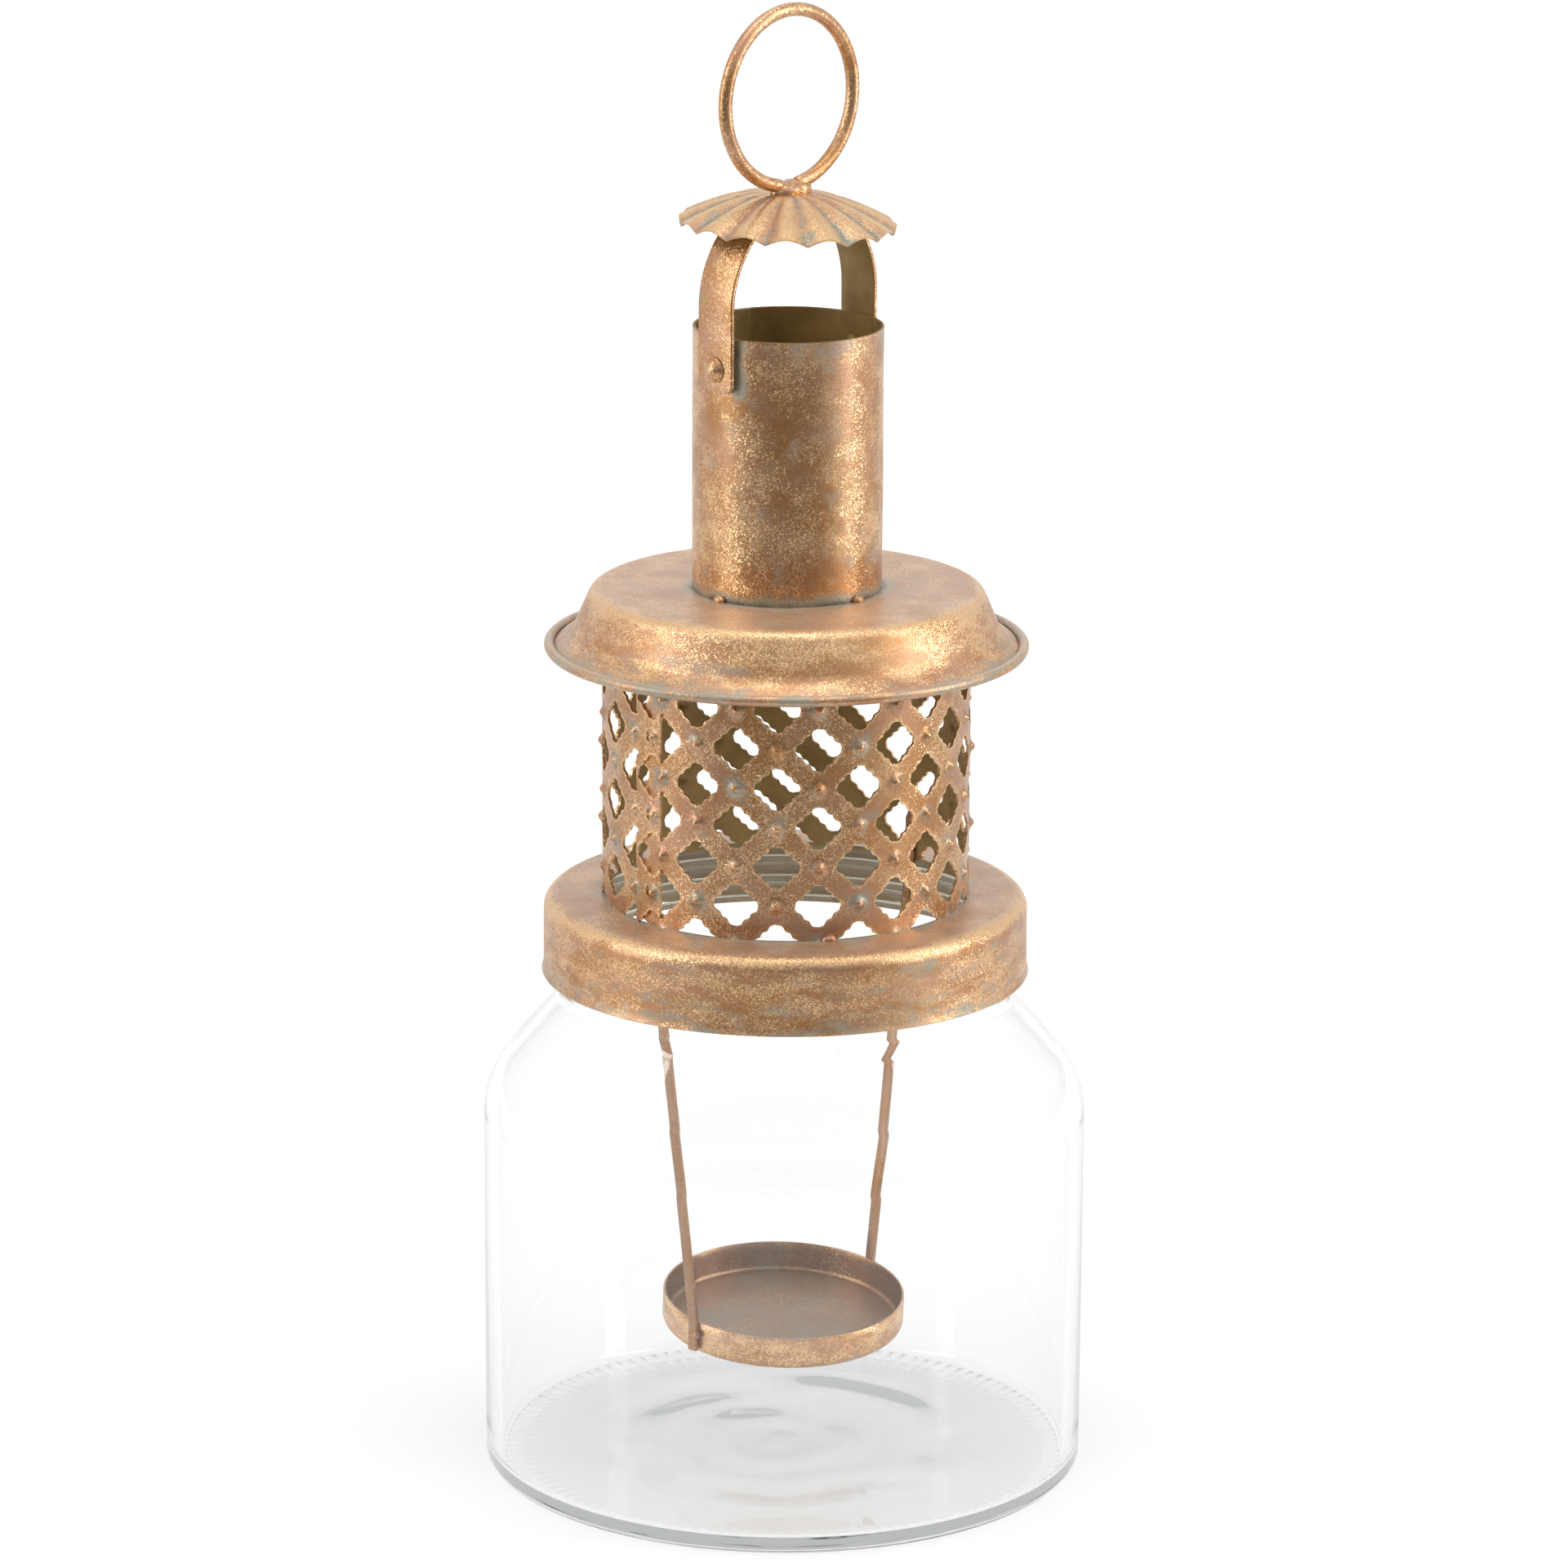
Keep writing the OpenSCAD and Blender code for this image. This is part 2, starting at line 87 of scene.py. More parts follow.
right = Vector((math.cos(VIEW_TURN), math.sin(VIEW_TURN), 0))
level_back = Vector((math.sin(VIEW_TURN), -math.cos(VIEW_TURN), 0))
back = level_back * math.cos(VIEW_DOWN) + Vector((0, 0, math.sin(VIEW_DOWN)))
up = back.cross(right)
camera_data = bpy.data.cameras.new("studio_camera")
camera_data.lens, camera_data.sensor_width = LENS, SENSOR
camera = linked("studio_camera", camera_data)
turn = Matrix((right, up, back)).transposed().to_4x4() @ Matrix.Rotation(VIEW_ROLL, 4, "Z")
place = level_back * VIEW_DISTANCE + right * VIEW_SIDE + Vector((0, 0, VIEW_HEIGHT))
camera.matrix_world = Matrix.Translation(place * MM) @ turn
bpy.context.scene.camera = camera
print("camera at", tuple(round(v, 3) for v in camera.location))

# %% [markdown]
# ## Helpers
# Colours are written as sRGB hex values, as a paint chart gives them, and one function turns them
# to the linear values that shaders work in. One small function adds a node with its settings and
# links, and gives back the output that the next node takes. It serves materials and Geometry
# Nodes alike. Values can go to sockets by name, or in the order in which the node shows them: a
# Map Range node, for one, takes a value, the range it comes from and the range it goes to.

# %% Colours
def linear(code):
    """An sRGB hex colour as linear RGBA."""
    parts = [int(code[i:i + 2], 16) / 255 for i in (1, 3, 5)]
    return tuple(c / 12.92 if c <= 0.04045 else ((c + 0.055) / 1.055) ** 2.4
                 for c in parts) + (1.0,)


def grey(value):
    """A neutral colour, also for ramps that carry a plain number."""
    return (value, value, value, 1)


WHITE, BLACK = grey(1), grey(0)
print("a middle grey in linear light:", round(linear("#808080")[0], 3))

# %% Nodes and materials
MATH, VECTOR, RANGE = "ShaderNodeMath", "ShaderNodeVectorMath", "ShaderNodeMapRange"
RAMP, NOISE, MIX = "ShaderNodeValToRGB", "ShaderNodeTexNoise", "ShaderNodeMix"
# A Mix node's colour sockets are numbers 6 and 7, and its colour comes out of number 2
COLOURS = {"data_type": "RGBA", "out": 2}


def add(tree, kind, inputs=(), out=0, stops=(), **settings):
    """Adds a node and returns one of its outputs, or all of them when out is None.

    An input is a socket, which is linked, or a plain value. stops are for a colour ramp."""
    node = tree.nodes.new(kind)
    for key, value in settings.items():
        setattr(node, key, value)
    for key, value in inputs.items() if isinstance(inputs, dict) else enumerate(inputs):
        if isinstance(value, bpy.types.NodeSocket):
            tree.links.new(value, node.inputs[key])
        else:
            node.inputs[key].default_value = value
    if stops:
        first, last = node.color_ramp.elements
        (first.position, first.color), (last.position, last.color) = stops[0], stops[-1]
        for position, colour in stops[1:-1]:
            node.color_ramp.elements.new(position).color = colour
    return node.outputs if out is None else node.outputs[out]


def new_material(name):
    """An empty node material and its tree."""
    material = bpy.data.materials.new(name)
    material.use_nodes = True
    material.node_tree.nodes.clear()
    return material, material.node_tree


print("helpers ready")

# %% [markdown]
# ## Antique gold: rubbed leaf over copper brown
# The sheet steel is painted copper brown, dabbed with a thin grey-green wash that imitates
# verdigris, and then rubbed with gold leaf that broke into small flakes. To the eye the brown is a
# smooth metallic paint that turns pinkish where it is thin, the wash lies in cloudy smears, and
# the flakes sparkle, because each one lies at its own slight angle. A cell pattern gives every
# flake its own random number: it decides whether there is a flake, how light it is and how it
# leans. Real flakes are finer than the cells, which are as coarse as they need to be to show.

# %% Flakes of leaf
PER_METRE = 1000
FLAKE_MM = 0.2     # size of a gold flake
FLAKE_LEAN = 0.36  # how far the flakes lean, as the tangent across their whole range


def leaning(tree, flake, reach):
    """The surface's normal, leant by a flake's own random colour as far as reach allows."""
    way = add(tree, VECTOR, (flake, (0.5, 0.5, 0.5)), operation="SUBTRACT")
    leant = add(tree, VECTOR, {0: way, "Scale": reach}, operation="SCALE")
    true_normal = add(tree, "ShaderNodeNewGeometry", out="Normal")
    facing = add(tree, VECTOR, (true_normal, leant), operation="ADD")
    return add(tree, VECTOR, (facing,), operation="NORMALIZE")


print("flakes to a centimetre:", round(10 / FLAKE_MM))

# %% [markdown]
# Level faces carry a little pinkish dust, which also paints in the lighter sheen that level faces
# show. A piece may also say where the wash gathers, with an attribute for grime and painted light.
# From 0 to 1 it calls for wash. From 1 to 2 it calls for dark dirt as well, which is also painted
# shade, as in a corner that no cloth reaches. Below 0 it calls for leaf, which is also a painted
# highlight, as on an edge that the cloth catches. One function builds the finish, and each piece
# may draw the patches out along its rubbing direction and ask for more or less wash and leaf.

# %% Colours and sizes of the gold
GOLD, GOLD_LIGHT = "#d8a673", "#f0cda0"
COPPER_BROWN, COPPER_PINK = "#b4804f", "#bf9276"
VERDIGRIS = "#9a9a8c"
# Pinkish dust on level faces, which also paints in the lighter sheen that they show
DUST_AND_SHEEN = "#cdb39d"
# Dark dirt, which is also painted shade where parts meet
DIRT_AND_SHADE = "#655d4c"
CLOUD_MM = 13             # size of the clouds of copper
WASH_MM = CLOUD_MM * 0.6  # size of the smears of wash
PATCH_MM = 8              # size of the rubbed patches of gold
# Three noise patterns: each one's own part of the seed, its size, its detail and its roughness
CLOUDS = ((11.0, PATCH_MM, 7, 0.66), (3.0, CLOUD_MM, 5, 0.62), (7.0, WASH_MM, 8, 0.66))
PATCH_EDGE = (0.38, 0.64)  # noise at which a patch of leaf starts and is full
FLAKE_EDGE = (-0.12, 0.3)  # how much leaf a flake needs, against its own number
PINK_EDGE = (0.4, 0.62)    # noise at which the brown starts to turn pinkish and is pink
WASH_START = 0.7           # noise at which wash starts, where none is asked for
WASH_GAIN = 0.16           # how much lower it starts where wash is asked for in full
WASH_BELOW, WASH_ABOVE = 0.06, 0.1  # softness of its edge
WASH_COVER = 0.85          # how much of the ground full wash hides
WASH_ON_LEAF = -0.8        # and how much of the leaf it takes away
DUST_AND_SHEEN_SLOPE = (0.8, 0.98)   # how level a face is when dust starts and is full
DUST_AND_SHEEN_COVER = 0.4           # how much of the colour and shine full dust hides
METALLIC = 0.9             # typical of metallic paint
LEAF_SHEEN = 0.08          # how much less rough leaf is than the paint
PAINT_LEAN = FLAKE_LEAN * 0.2
print("patches of gold", PATCH_MM, "mm, smears of wash", round(WASH_MM, 1), "mm")

# %% Antique gold
def antique_gold(name, streak=1.0, wash=0.5, leaf=0.5, seed=0.0, shade=1.0, rough=0.37):
    """Rubbed gold over copper brown. streak draws the patches out round the axis, wash and leaf go
    from 0 to 1, shade darkens the whole finish, and rough is the paint's roughness."""
    material, tree = new_material(name)
    surface = add(tree, "ShaderNodeTexCoord", out=None)
    drawn = add(tree, "ShaderNodeMapping", {"Vector": surface["Object"], "Scale": (1, 1, streak)})
    patches, tints, smears = (add(tree, NOISE, {
        "Vector": drawn, "W": seed + layer, "Scale": PER_METRE / size, "Detail": detail,
        "Roughness": broken}, noise_dimensions="4D") for layer, size, detail, broken in CLOUDS)
    grime = add(tree, "ShaderNodeAttribute", out="Fac", attribute_name="grime")
    flake = add(tree, "ShaderNodeTexVoronoi", {
        "Vector": surface["Object"], "Scale": PER_METRE / FLAKE_MM}, out="Color")
    chance = add(tree, "ShaderNodeSeparateColor", (flake,), out=None)

    # Leaf lies where a patch, or an edge, has more of it than the flake's number asks. The edge's
    # leaf is also a painted highlight
    patch = add(tree, RANGE, (patches, *PATCH_EDGE, 0.0, 2.0 * leaf))
    edge_wear_and_highlight = add(tree, MATH, (grime, 0.0), operation="MINIMUM")
    cover = add(tree, MATH, (patch, edge_wear_and_highlight), operation="SUBTRACT")
    enough = add(tree, MATH, (cover, chance[0]), operation="SUBTRACT")
    leaf_mask = add(tree, RANGE, (enough, *FLAKE_EDGE))
    gold = add(tree, MIX, {0: chance[1], 6: linear(GOLD), 7: linear(GOLD_LIGHT)}, **COLOURS)

    # The ground, and the wash over it
    pinkish = add(tree, RAMP, (tints,), stops=list(zip(PINK_EDGE, (BLACK, WHITE))))
    ground = add(tree, MIX, {
        0: pinkish, 6: linear(COPPER_BROWN), 7: linear(COPPER_PINK)}, **COLOURS)
    level = WASH_START - WASH_GAIN * wash
    gathered = add(tree, MATH, (grime, 0.2, smears), operation="MULTIPLY_ADD")
    wash_mask = add(tree, RAMP, (gathered,), stops=[
        (level - WASH_BELOW, BLACK), (level + WASH_ABOVE, grey(WASH_COVER))])
    washed = add(tree, MIX, {0: wash_mask, 6: ground, 7: linear(VERDIGRIS)}, **COLOURS)
    unwashed = add(tree, MATH, (wash_mask, WASH_ON_LEAF, 1.0), operation="MULTIPLY_ADD")
    bare = add(tree, MATH, (leaf_mask, unwashed), operation="MULTIPLY")
    coated = add(tree, MIX, {0: bare, 6: washed, 7: gold}, **COLOURS)

    # Dust and a painted sheen on level faces, dirt and painted shade in corners
    upward = add(tree, "ShaderNodeSeparateXYZ", (surface["Normal"],), out="Z")
    dust_and_sheen = add(tree, RANGE, (upward, *DUST_AND_SHEEN_SLOPE, 0.0, DUST_AND_SHEEN_COVER))
    dusty_and_sheened = add(tree, MIX, {0: dust_and_sheen, 6: coated, 7: linear(DUST_AND_SHEEN)}, **COLOURS)
    # Dark dirt where the attribute passes 1, which is also painted shade in corners and joints
    uneven = add(tree, MATH, (smears, 2.0, -0.1), operation="MULTIPLY_ADD")
    corner = add(tree, MATH, (grime, uneven), operation="MULTIPLY")
    dirt_and_shade = add(tree, MATH, (corner, 1.0), operation="SUBTRACT")
    dirty_and_shaded = add(tree, MIX, {0: dirt_and_shade, 6: dusty_and_sheened, 7: linear(DIRT_AND_SHADE)}, **COLOURS)
    colour = add(tree, MIX, {0: 1.0, 6: dirty_and_shaded, 7: grey(shade)}, blend_type="MULTIPLY", **COLOURS)

    # Leaf is smoother and leans more than paint, and neither wash nor the dust and painted sheen
    # is metallic
    dull = add(tree, MATH, (bare, -LEAF_SHEEN, rough), operation="MULTIPLY_ADD")
    shiny = add(tree, MATH, (wash_mask, -0.4, METALLIC), operation="MULTIPLY_ADD")
    metal = add(tree, MATH, (shiny, dust_and_sheen), operation="SUBTRACT")
    reach = add(tree, MATH, (bare, FLAKE_LEAN - PAINT_LEAN, PAINT_LEAN), operation="MULTIPLY_ADD")
    shader = add(tree, "ShaderNodeBsdfPrincipled", {
        "Base Color": colour, "Metallic": metal, "Roughness": dull,
        "Normal": leaning(tree, flake, reach), "Coat Weight": 0.3, "Coat Roughness": 0.35})
    add(tree, "ShaderNodeOutputMaterial", {"Surface": shader}, out=None)
    return material


print("gold finish ready, clouds of copper", CLOUD_MM, "mm")

# %% [markdown]
# The same finish was rubbed on every piece outside, but by hand, and so a little differently on
# each. The turned sheet was rubbed round and round and the band was rubbed least. The band's cut
# edges were worn bright by the cloth, which also paints in the highlight that the edges catch.
# Each piece has its own seed, so no two show the same patches.

# %% The gold of each piece
turned_gold = antique_gold("rubbed_gold_turned_sheet", streak=3, wash=0.75, rough=0.42)
tube_gold = antique_gold("rubbed_gold_rolled_tube", streak=1.1, wash=0.6, leaf=0.58, seed=1.3)
lattice_gold = antique_gold("rubbed_gold_perforated_strip", wash=0.35, leaf=0.35, seed=2.9,
                            shade=0.95)
# Worn gold on the cut edges, which is also a painted highlight
cut_edge_gold_and_highlight = antique_gold("worn_gold_cut_edge", wash=0.0, leaf=0.8, seed=2.9)
bail_gold = antique_gold("rubbed_gold_bail_strip", wash=0.4, leaf=0.45, seed=4.2)
print("gold finishes:", ", ".join(m.name for m in bpy.data.materials if "gold" in m.name))

# %% [markdown]
# ## The finishes inside
# Inside the chimney, the canopy and the band the gold was never rubbed on: there the lacquer that
# shields the steel shows as a flat olive brown, slightly uneven and half dull. The pan and the
# hangers got the brown ground and a little gold. Solder is lumpy and was painted over, which
# dulls it, and a tack on a gold wall was rubbed with the gold of that wall.

# %% Olive lacquer, browned pan and solder
OLIVE, OLIVE_DARK = "#a68850", "#8c7042"
UNEVEN_MM = 6.25  # size of the lacquer's thick and thin places
GRAIN_MM = 2 / 3  # size of its orange peel
olive_lacquer, tree = new_material("olive_lacquer")
place = add(tree, "ShaderNodeTexCoord", out="Object")
uneven = add(tree, NOISE, {
    "Vector": place, "Scale": PER_METRE / UNEVEN_MM, "Detail": 6, "Roughness": 0.6})
grain = add(tree, NOISE, {"Vector": place, "Scale": PER_METRE / GRAIN_MM, "Detail": 2})
colour = add(tree, RAMP, (uneven,), stops=[(0.35, linear(OLIVE_DARK)), (0.65, linear(OLIVE))])
dull = add(tree, RAMP, (grain,), stops=[(0.3, grey(0.42)), (0.7, grey(0.58))])
peel = add(tree, "ShaderNodeBump", {"Height": grain, "Strength": 0.25, "Distance": 0.1 * MM})
shader = add(tree, "ShaderNodeBsdfPrincipled", {
    "Base Color": colour, "Metallic": 0.35, "Roughness": dull, "Normal": peel})
add(tree, "ShaderNodeOutputMaterial", {"Surface": shader}, out=None)

pan_gold = antique_gold("rubbed_gold_pan", streak=2.5, leaf=0.6, seed=6.1)
pan_lining = antique_gold("dull_brown_pan_lining", wash=0.9, leaf=0.3, seed=6.1, shade=0.68)
hanger_gold = antique_gold("rubbed_gold_hanger_strip", wash=0.4, leaf=0.2, seed=8.4, shade=0.7)
solder = antique_gold("painted_solder", wash=0.4, leaf=0.2, seed=9.9, shade=0.7)
print("inside:", ", ".join(m.name for m in (olive_lacquer, pan_gold, pan_lining, hanger_gold)))

# %% [markdown]
# ## Clear soda-lime glass
# Jar glass is colourless, with a faint green-grey that only shows where the eye looks along a
# wall, at the rim and the heel. A Principled surface with full transmission and an index of 1.5
# gives the reflections and the bending. Rays towards the lamps pass straight through instead, by
# a light path switch, because a real jar throws hardly any shadow and caustics would take far
# more samples, and so does soft light on its way to the metal inside. A ray that was bent many
# times is trapped in the wall as in a light guide. There the glass gives a painted glow instead,
# in the colour that such light takes on. The glow is pale grey, a painted shade that is dark at
# the heel for the dark underside, and a painted reflection of olive in the neck for the lacquer.

# %% Clear glass
GLASS_TINT = "#fbfcfc"
# Colours of the painted glow: pale grey, a painted shade at the heel, and a painted reflection of
# the olive lacquer in the neck
PAINTED_GLOW, PAINTED_GLOW_HEEL_SHADE, PAINTED_GLOW_NECK_REFLECTION = "#b9bbbb", "#4c5052", "#aba285"
LAST_BEND = 5      # bends after which a ray counts as trapped
GLASS_IOR = 1.5
THROUGH = 0.93     # what the glass lets through of soft light and lamp light
NECK_FROM, NECK_FULL = 70 * MM, 76 * MM
HEEL_FULL, HEEL_END = 3 * MM, 5 * MM
HEEL_OUT_FROM, HEEL_OUT_FULL = 50.5 * MM, 53 * MM  # from the middle of the foot

clear_glass, tree = new_material("clear_soda_lime_glass")
shader = add(tree, "ShaderNodeBsdfPrincipled", {
    "Base Color": linear(GLASS_TINT), "Roughness": 0.0, "IOR": GLASS_IOR,
    "Transmission Weight": 1.0})
open_way = add(tree, "ShaderNodeBsdfTransparent", {"Color": grey(THROUGH)})
place = add(tree, "ShaderNodeTexCoord", out="Object")
height = add(tree, "ShaderNodeSeparateXYZ", (place,), out="Z")
from_foot = add(tree, VECTOR, (place,), out="Value", operation="LENGTH")
in_neck = add(tree, RANGE, (height, NECK_FROM, NECK_FULL))
far_out = add(tree, RANGE, (from_foot, HEEL_OUT_FROM, HEEL_OUT_FULL))
in_heel = add(tree, RANGE, (height, HEEL_FULL, HEEL_END, far_out, 0.0))
painted_glow_low = add(tree, MIX, {0: in_heel, 6: linear(PAINTED_GLOW), 7: linear(PAINTED_GLOW_HEEL_SHADE)}, **COLOURS)
painted_glow_colour = add(tree, MIX, {0: in_neck, 6: painted_glow_low, 7: linear(PAINTED_GLOW_NECK_REFLECTION)}, **COLOURS)
# The glass glows here: a painted glow in place of light trapped in the wall
painted_glow = add(tree, "ShaderNodeEmission", {"Color": painted_glow_colour})
path = add(tree, "ShaderNodeLightPath", out=None)
trapped = add(tree, MATH, (path["Ray Depth"], float(LAST_BEND)), operation="GREATER_THAN")
straight = add(tree, MATH, (path["Is Shadow Ray"], path["Is Diffuse Ray"]), operation="MAXIMUM")
bent = add(tree, "ShaderNodeMixShader", (trapped, shader, painted_glow))
surface = add(tree, "ShaderNodeMixShader", (straight, bent, open_way))
add(tree, "ShaderNodeOutputMaterial", {"Surface": surface}, out=None)
print("glass index", GLASS_IOR)

# %% [markdown]
# ## Studio
# The lantern stands on a pale sweep in a light tent: what is behind, beside and above it is
# white, so the glass nearly vanishes and the metal is lit softly from all sides. The tent is dim
# in front and below, where the camera stands, which keeps the middle of the metal from washing
# out. Two tall soft boxes at the left and right give the chimney its two upright highlights. In
# the metal, the sweep far out is mirrored as the tent is, and through the glass the surround
# looks a little lighter, as it does through a real jar, whose walls catch light from all round.

# %% Tent
DARK_FRONT = 0.16
FRONT_DROP = 0.8  # how far below the level the tent's dim middle lies
TENT = [(0.0, WHITE), (0.62, grey(0.95)), (0.76, grey(0.6)), (0.9, grey(DARK_FRONT))]
TENT_LIGHT = 0.9


def tent(tree, direction):
    """Brightness of the light tent in a direction: white, and dim in front and below."""
    middle = tuple(level_back - Vector((0, 0, FRONT_DROP)))
    facing = add(tree, VECTOR, (direction, middle), out="Value", operation="DOT_PRODUCT")
    return add(tree, RAMP, (add(tree, RANGE, (facing, -1.0, 1.0)),), stops=TENT)


print("the tent is full white behind and", DARK_FRONT, "in front")

# %% Sweep of white paper
FLOOR_HALF = 3000
GLOW_NEAR, GLOW_FAR = 0.36, 0.6
GLOW_SPREAD = (0.1, 1.3)    # distance in metres over which the sweep's glow grows
SWEEP_SPREAD = (0.3, 0.65)  # and over which what metal mirrors of it turns to the tent's light


def new_mesh(name, points, faces, finishes=(), slots=None):
    """A smooth mesh from points in millimetres. slots says which finish each face takes."""
    mesh = bpy.data.meshes.new(name)
    mesh.from_pydata((np.array(points) * MM).tolist(), [], faces)
    for finish in finishes:
        mesh.materials.append(finish)
    if slots:
        mesh.polygons.foreach_set("material_index", slots)
    mesh.polygons.foreach_set("use_smooth", [True] * len(faces))
    return mesh


paper, tree = new_material("white_paper_sweep")
place = add(tree, "ShaderNodeTexCoord", out="Object")
outward = add(tree, VECTOR, (place,), operation="NORMALIZE")
distance = add(tree, VECTOR, (place,), out="Value", operation="LENGTH")
glow = add(tree, RANGE, (distance, *GLOW_SPREAD, GLOW_NEAR, GLOW_FAR))
shader = add(tree, "ShaderNodeBsdfPrincipled", {
    "Base Color": grey(0.62), "Roughness": 0.9, "Specular IOR Level": 0.1,
    "Emission Color": WHITE, "Emission Strength": glow})
beyond = add(tree, RANGE, (distance, *SWEEP_SPREAD), interpolation_type="SMOOTHSTEP")
sheen = add(tree, MIX, {0: beyond, 6: WHITE, 7: tent(tree, outward)}, **COLOURS)
mirrored = add(tree, "ShaderNodeEmission", {"Color": sheen, "Strength": TENT_LIGHT})
path = add(tree, "ShaderNodeLightPath", out=None)
in_metal = add(tree, MATH, (path["Is Glossy Ray"], path["Transmission Depth"]),
               operation="SUBTRACT", use_clamp=True)
surface = add(tree, "ShaderNodeMixShader", (in_metal, shader, mirrored))
add(tree, "ShaderNodeOutputMaterial", {"Surface": surface}, out=None)

corners = [(x * FLOOR_HALF, y * FLOOR_HALF, 0) for x, y in [(-1, -1), (1, -1), (1, 1), (-1, 1)]]
floor = linked("studio_floor", new_mesh("studio_floor", corners, [(0, 1, 2, 3)], [paper]))
print("sweep:", 2 * FLOOR_HALF, "mm wide")

# %% World and lamps
BACKDROP = 1.05         # brightness of the white that the camera sees
CLEAR_VIEW = 0.6        # how far the tent turns to the lighter one seen through the glass
CLEAR_WHITE = grey(1.07)
AIM = Vector((0, 0, 0.16))

world = bpy.data.worlds.new("light_tent")
world.use_nodes = True
tree = world.node_tree
tree.nodes.clear()
level = tent(tree, add(tree, "ShaderNodeTexCoord", out="Generated"))
lighter = add(tree, MIX, {0: CLEAR_VIEW, 6: level, 7: CLEAR_WHITE}, **COLOURS)
path = add(tree, "ShaderNodeLightPath", out=None)
seen = add(tree, MIX, {0: path["Transmission Depth"], 6: level, 7: lighter}, **COLOURS)
light = add(tree, "ShaderNodeBackground", {"Color": seen, "Strength": TENT_LIGHT})
white = add(tree, "ShaderNodeBackground", {"Color": WHITE, "Strength": BACKDROP})
mixed = add(tree, "ShaderNodeMixShader", (path["Is Camera Ray"], light, white))
add(tree, "ShaderNodeOutputWorld", {"Surface": mixed}, out=None)
bpy.context.scene.world = world

# Each lamp stands to the side, forward and up, in metres as seen from the camera, and has a
# width, a height and a power in watts
SOFT_BOXES = {"left_soft_box": (-0.95, 0.28, 0.5, 0.16, 1.1, 3.0),
              "right_soft_box": (0.95, 0.22, 0.5, 0.2, 1.1, 4.5),
              "top_soft_box": (0.0, 0.1, 1.3, 0.6, 0.6, 2.5)}
for name, (side, forward, height, wide, tall, power) in SOFT_BOXES.items():
    data = bpy.data.lights.new(name, "AREA")
    data.shape, data.size, data.size_y, data.energy = "RECTANGLE", wide, tall, power
    lamp = linked(name, data)
    lamp.location = right * side + level_back * forward + Vector((0, 0, height))
    lamp.rotation_euler = (AIM - lamp.location).to_track_quat("-Z", "Y").to_euler()
bpy.context.scene.view_settings.view_transform = "Standard"
print("lamps:", len(bpy.data.lights))

# %% [markdown]
# ## Turned shells
# The cap, the canopy, the pan and the jar are round, so each is a profile turned about the
# upright axis. The profile is a closed path of radius and height, made of straight runs and arcs,
# and it goes down the outside and back up the inside, so the sheet has its real thickness and a
# rim. Each stretch of the path says which finish it takes. Where the path starts and ends on the
# axis, the points there are merged to one, which closes the pole.

# %% Profiles and meshes
SHEET = 0.5
SHARP = math.radians(50)  # faces that meet at more than this keep a sharp edge
WELD = 0.001              # points closer than this are one


def arc(x, z, radius, start, end, steps=10):
    """Points on an arc about (x, z), in degrees."""
    angles = np.radians(np.linspace(start, end, steps + 1))
    return [(x + radius * math.cos(a), z + radius * math.sin(a)) for a in angles]


def near(distance, reach):
    """1 at no distance, falling smoothly to 0 at the reach."""
    return max(0.0, 1 - abs(distance) / reach) ** 1.5


def closed(mesh):
    """Merges points that coincide and turns every face outwards."""
    body = bmesh.new()
    body.from_mesh(mesh)
    bmesh.ops.remove_doubles(body, verts=body.verts, dist=WELD * MM)
    bmesh.ops.recalc_face_normals(body, faces=body.faces)
    body.to_mesh(mesh)
    body.free()
    return mesh


def finish_mesh(name, mesh, body, node):
    """Makes a mesh an object that rides on a body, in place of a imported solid."""
    mesh.set_sharp_from_angle(angle=SHARP)
    piece = linked(name, mesh)
    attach(piece, body)
    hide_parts(node)
    print(f"{name}: {sum(len(p.vertices) - 2 for p in mesh.polygons)} triangles")


print("sheet", SHEET, "mm")

# %% Turning
DENT_FADE = 20  # radius inside which dents fade towards the axis


def turned(name, outside, inside, finishes, segments=256, dent=0.0, dent_size=30.0,
           shape=None, grime=None):
    """Turns a closed path about Z. outside takes the first finish and inside the second. dent is
    the depth of the handmade unevenness, shape may move points by angle, radius and height, and
    the grime function says how much wash and dirt gathers at an angle, radius and height. Its
    dirt is also painted shade, and its leaf below 0 is also a painted highlight."""
    path = list(outside) + list(inside)
    rings = len(path)
    angles = np.linspace(0, 2 * math.pi, segments, endpoint=False)
    points = []
    for a in angles:
        for r, z in path:
            if shape:
                r, z = shape(a, r, z)
            if dent:
                spot = Vector((math.cos(a) * r, math.sin(a) * r, z)) / dent_size
                r += dent * noise.noise(spot) * min(1, r / DENT_FADE)
            points.append((r * math.cos(a), r * math.sin(a), z))
    runs = rings if path[0][0] > 0 else rings - 1
    faces, slots = [], []
    for k in range(segments):
        here, after = k * rings, (k + 1) % segments * rings
        for i in range(runs):
            j = (i + 1) % rings
            faces.append((here + i, here + j, after + j, after + i))
            slots.append(0 if i < len(outside) else 1)
    mesh = new_mesh(name, points, faces, finishes, slots)
    if grime:
        layer = mesh.attributes.new("grime", "FLOAT", "POINT")
        layer.data.foreach_set("value", [grime(a, r, z) for a in angles for r, z in path])
    return closed(mesh)


print("turning ready")

# %% [markdown]
# ## Glass jar
# A blown jar is round and smooth, with a shoulder that runs into the neck, a slightly pushed-up
# underside and a ring of small nubs round the heel that grips the conveyor. The plunger left
# uneven rings on its thin floor. The nubs are part of the same glass, so they are a ripple in the
# turned surface and not separate beads, which would refract twice. Four spokes go to each nub.

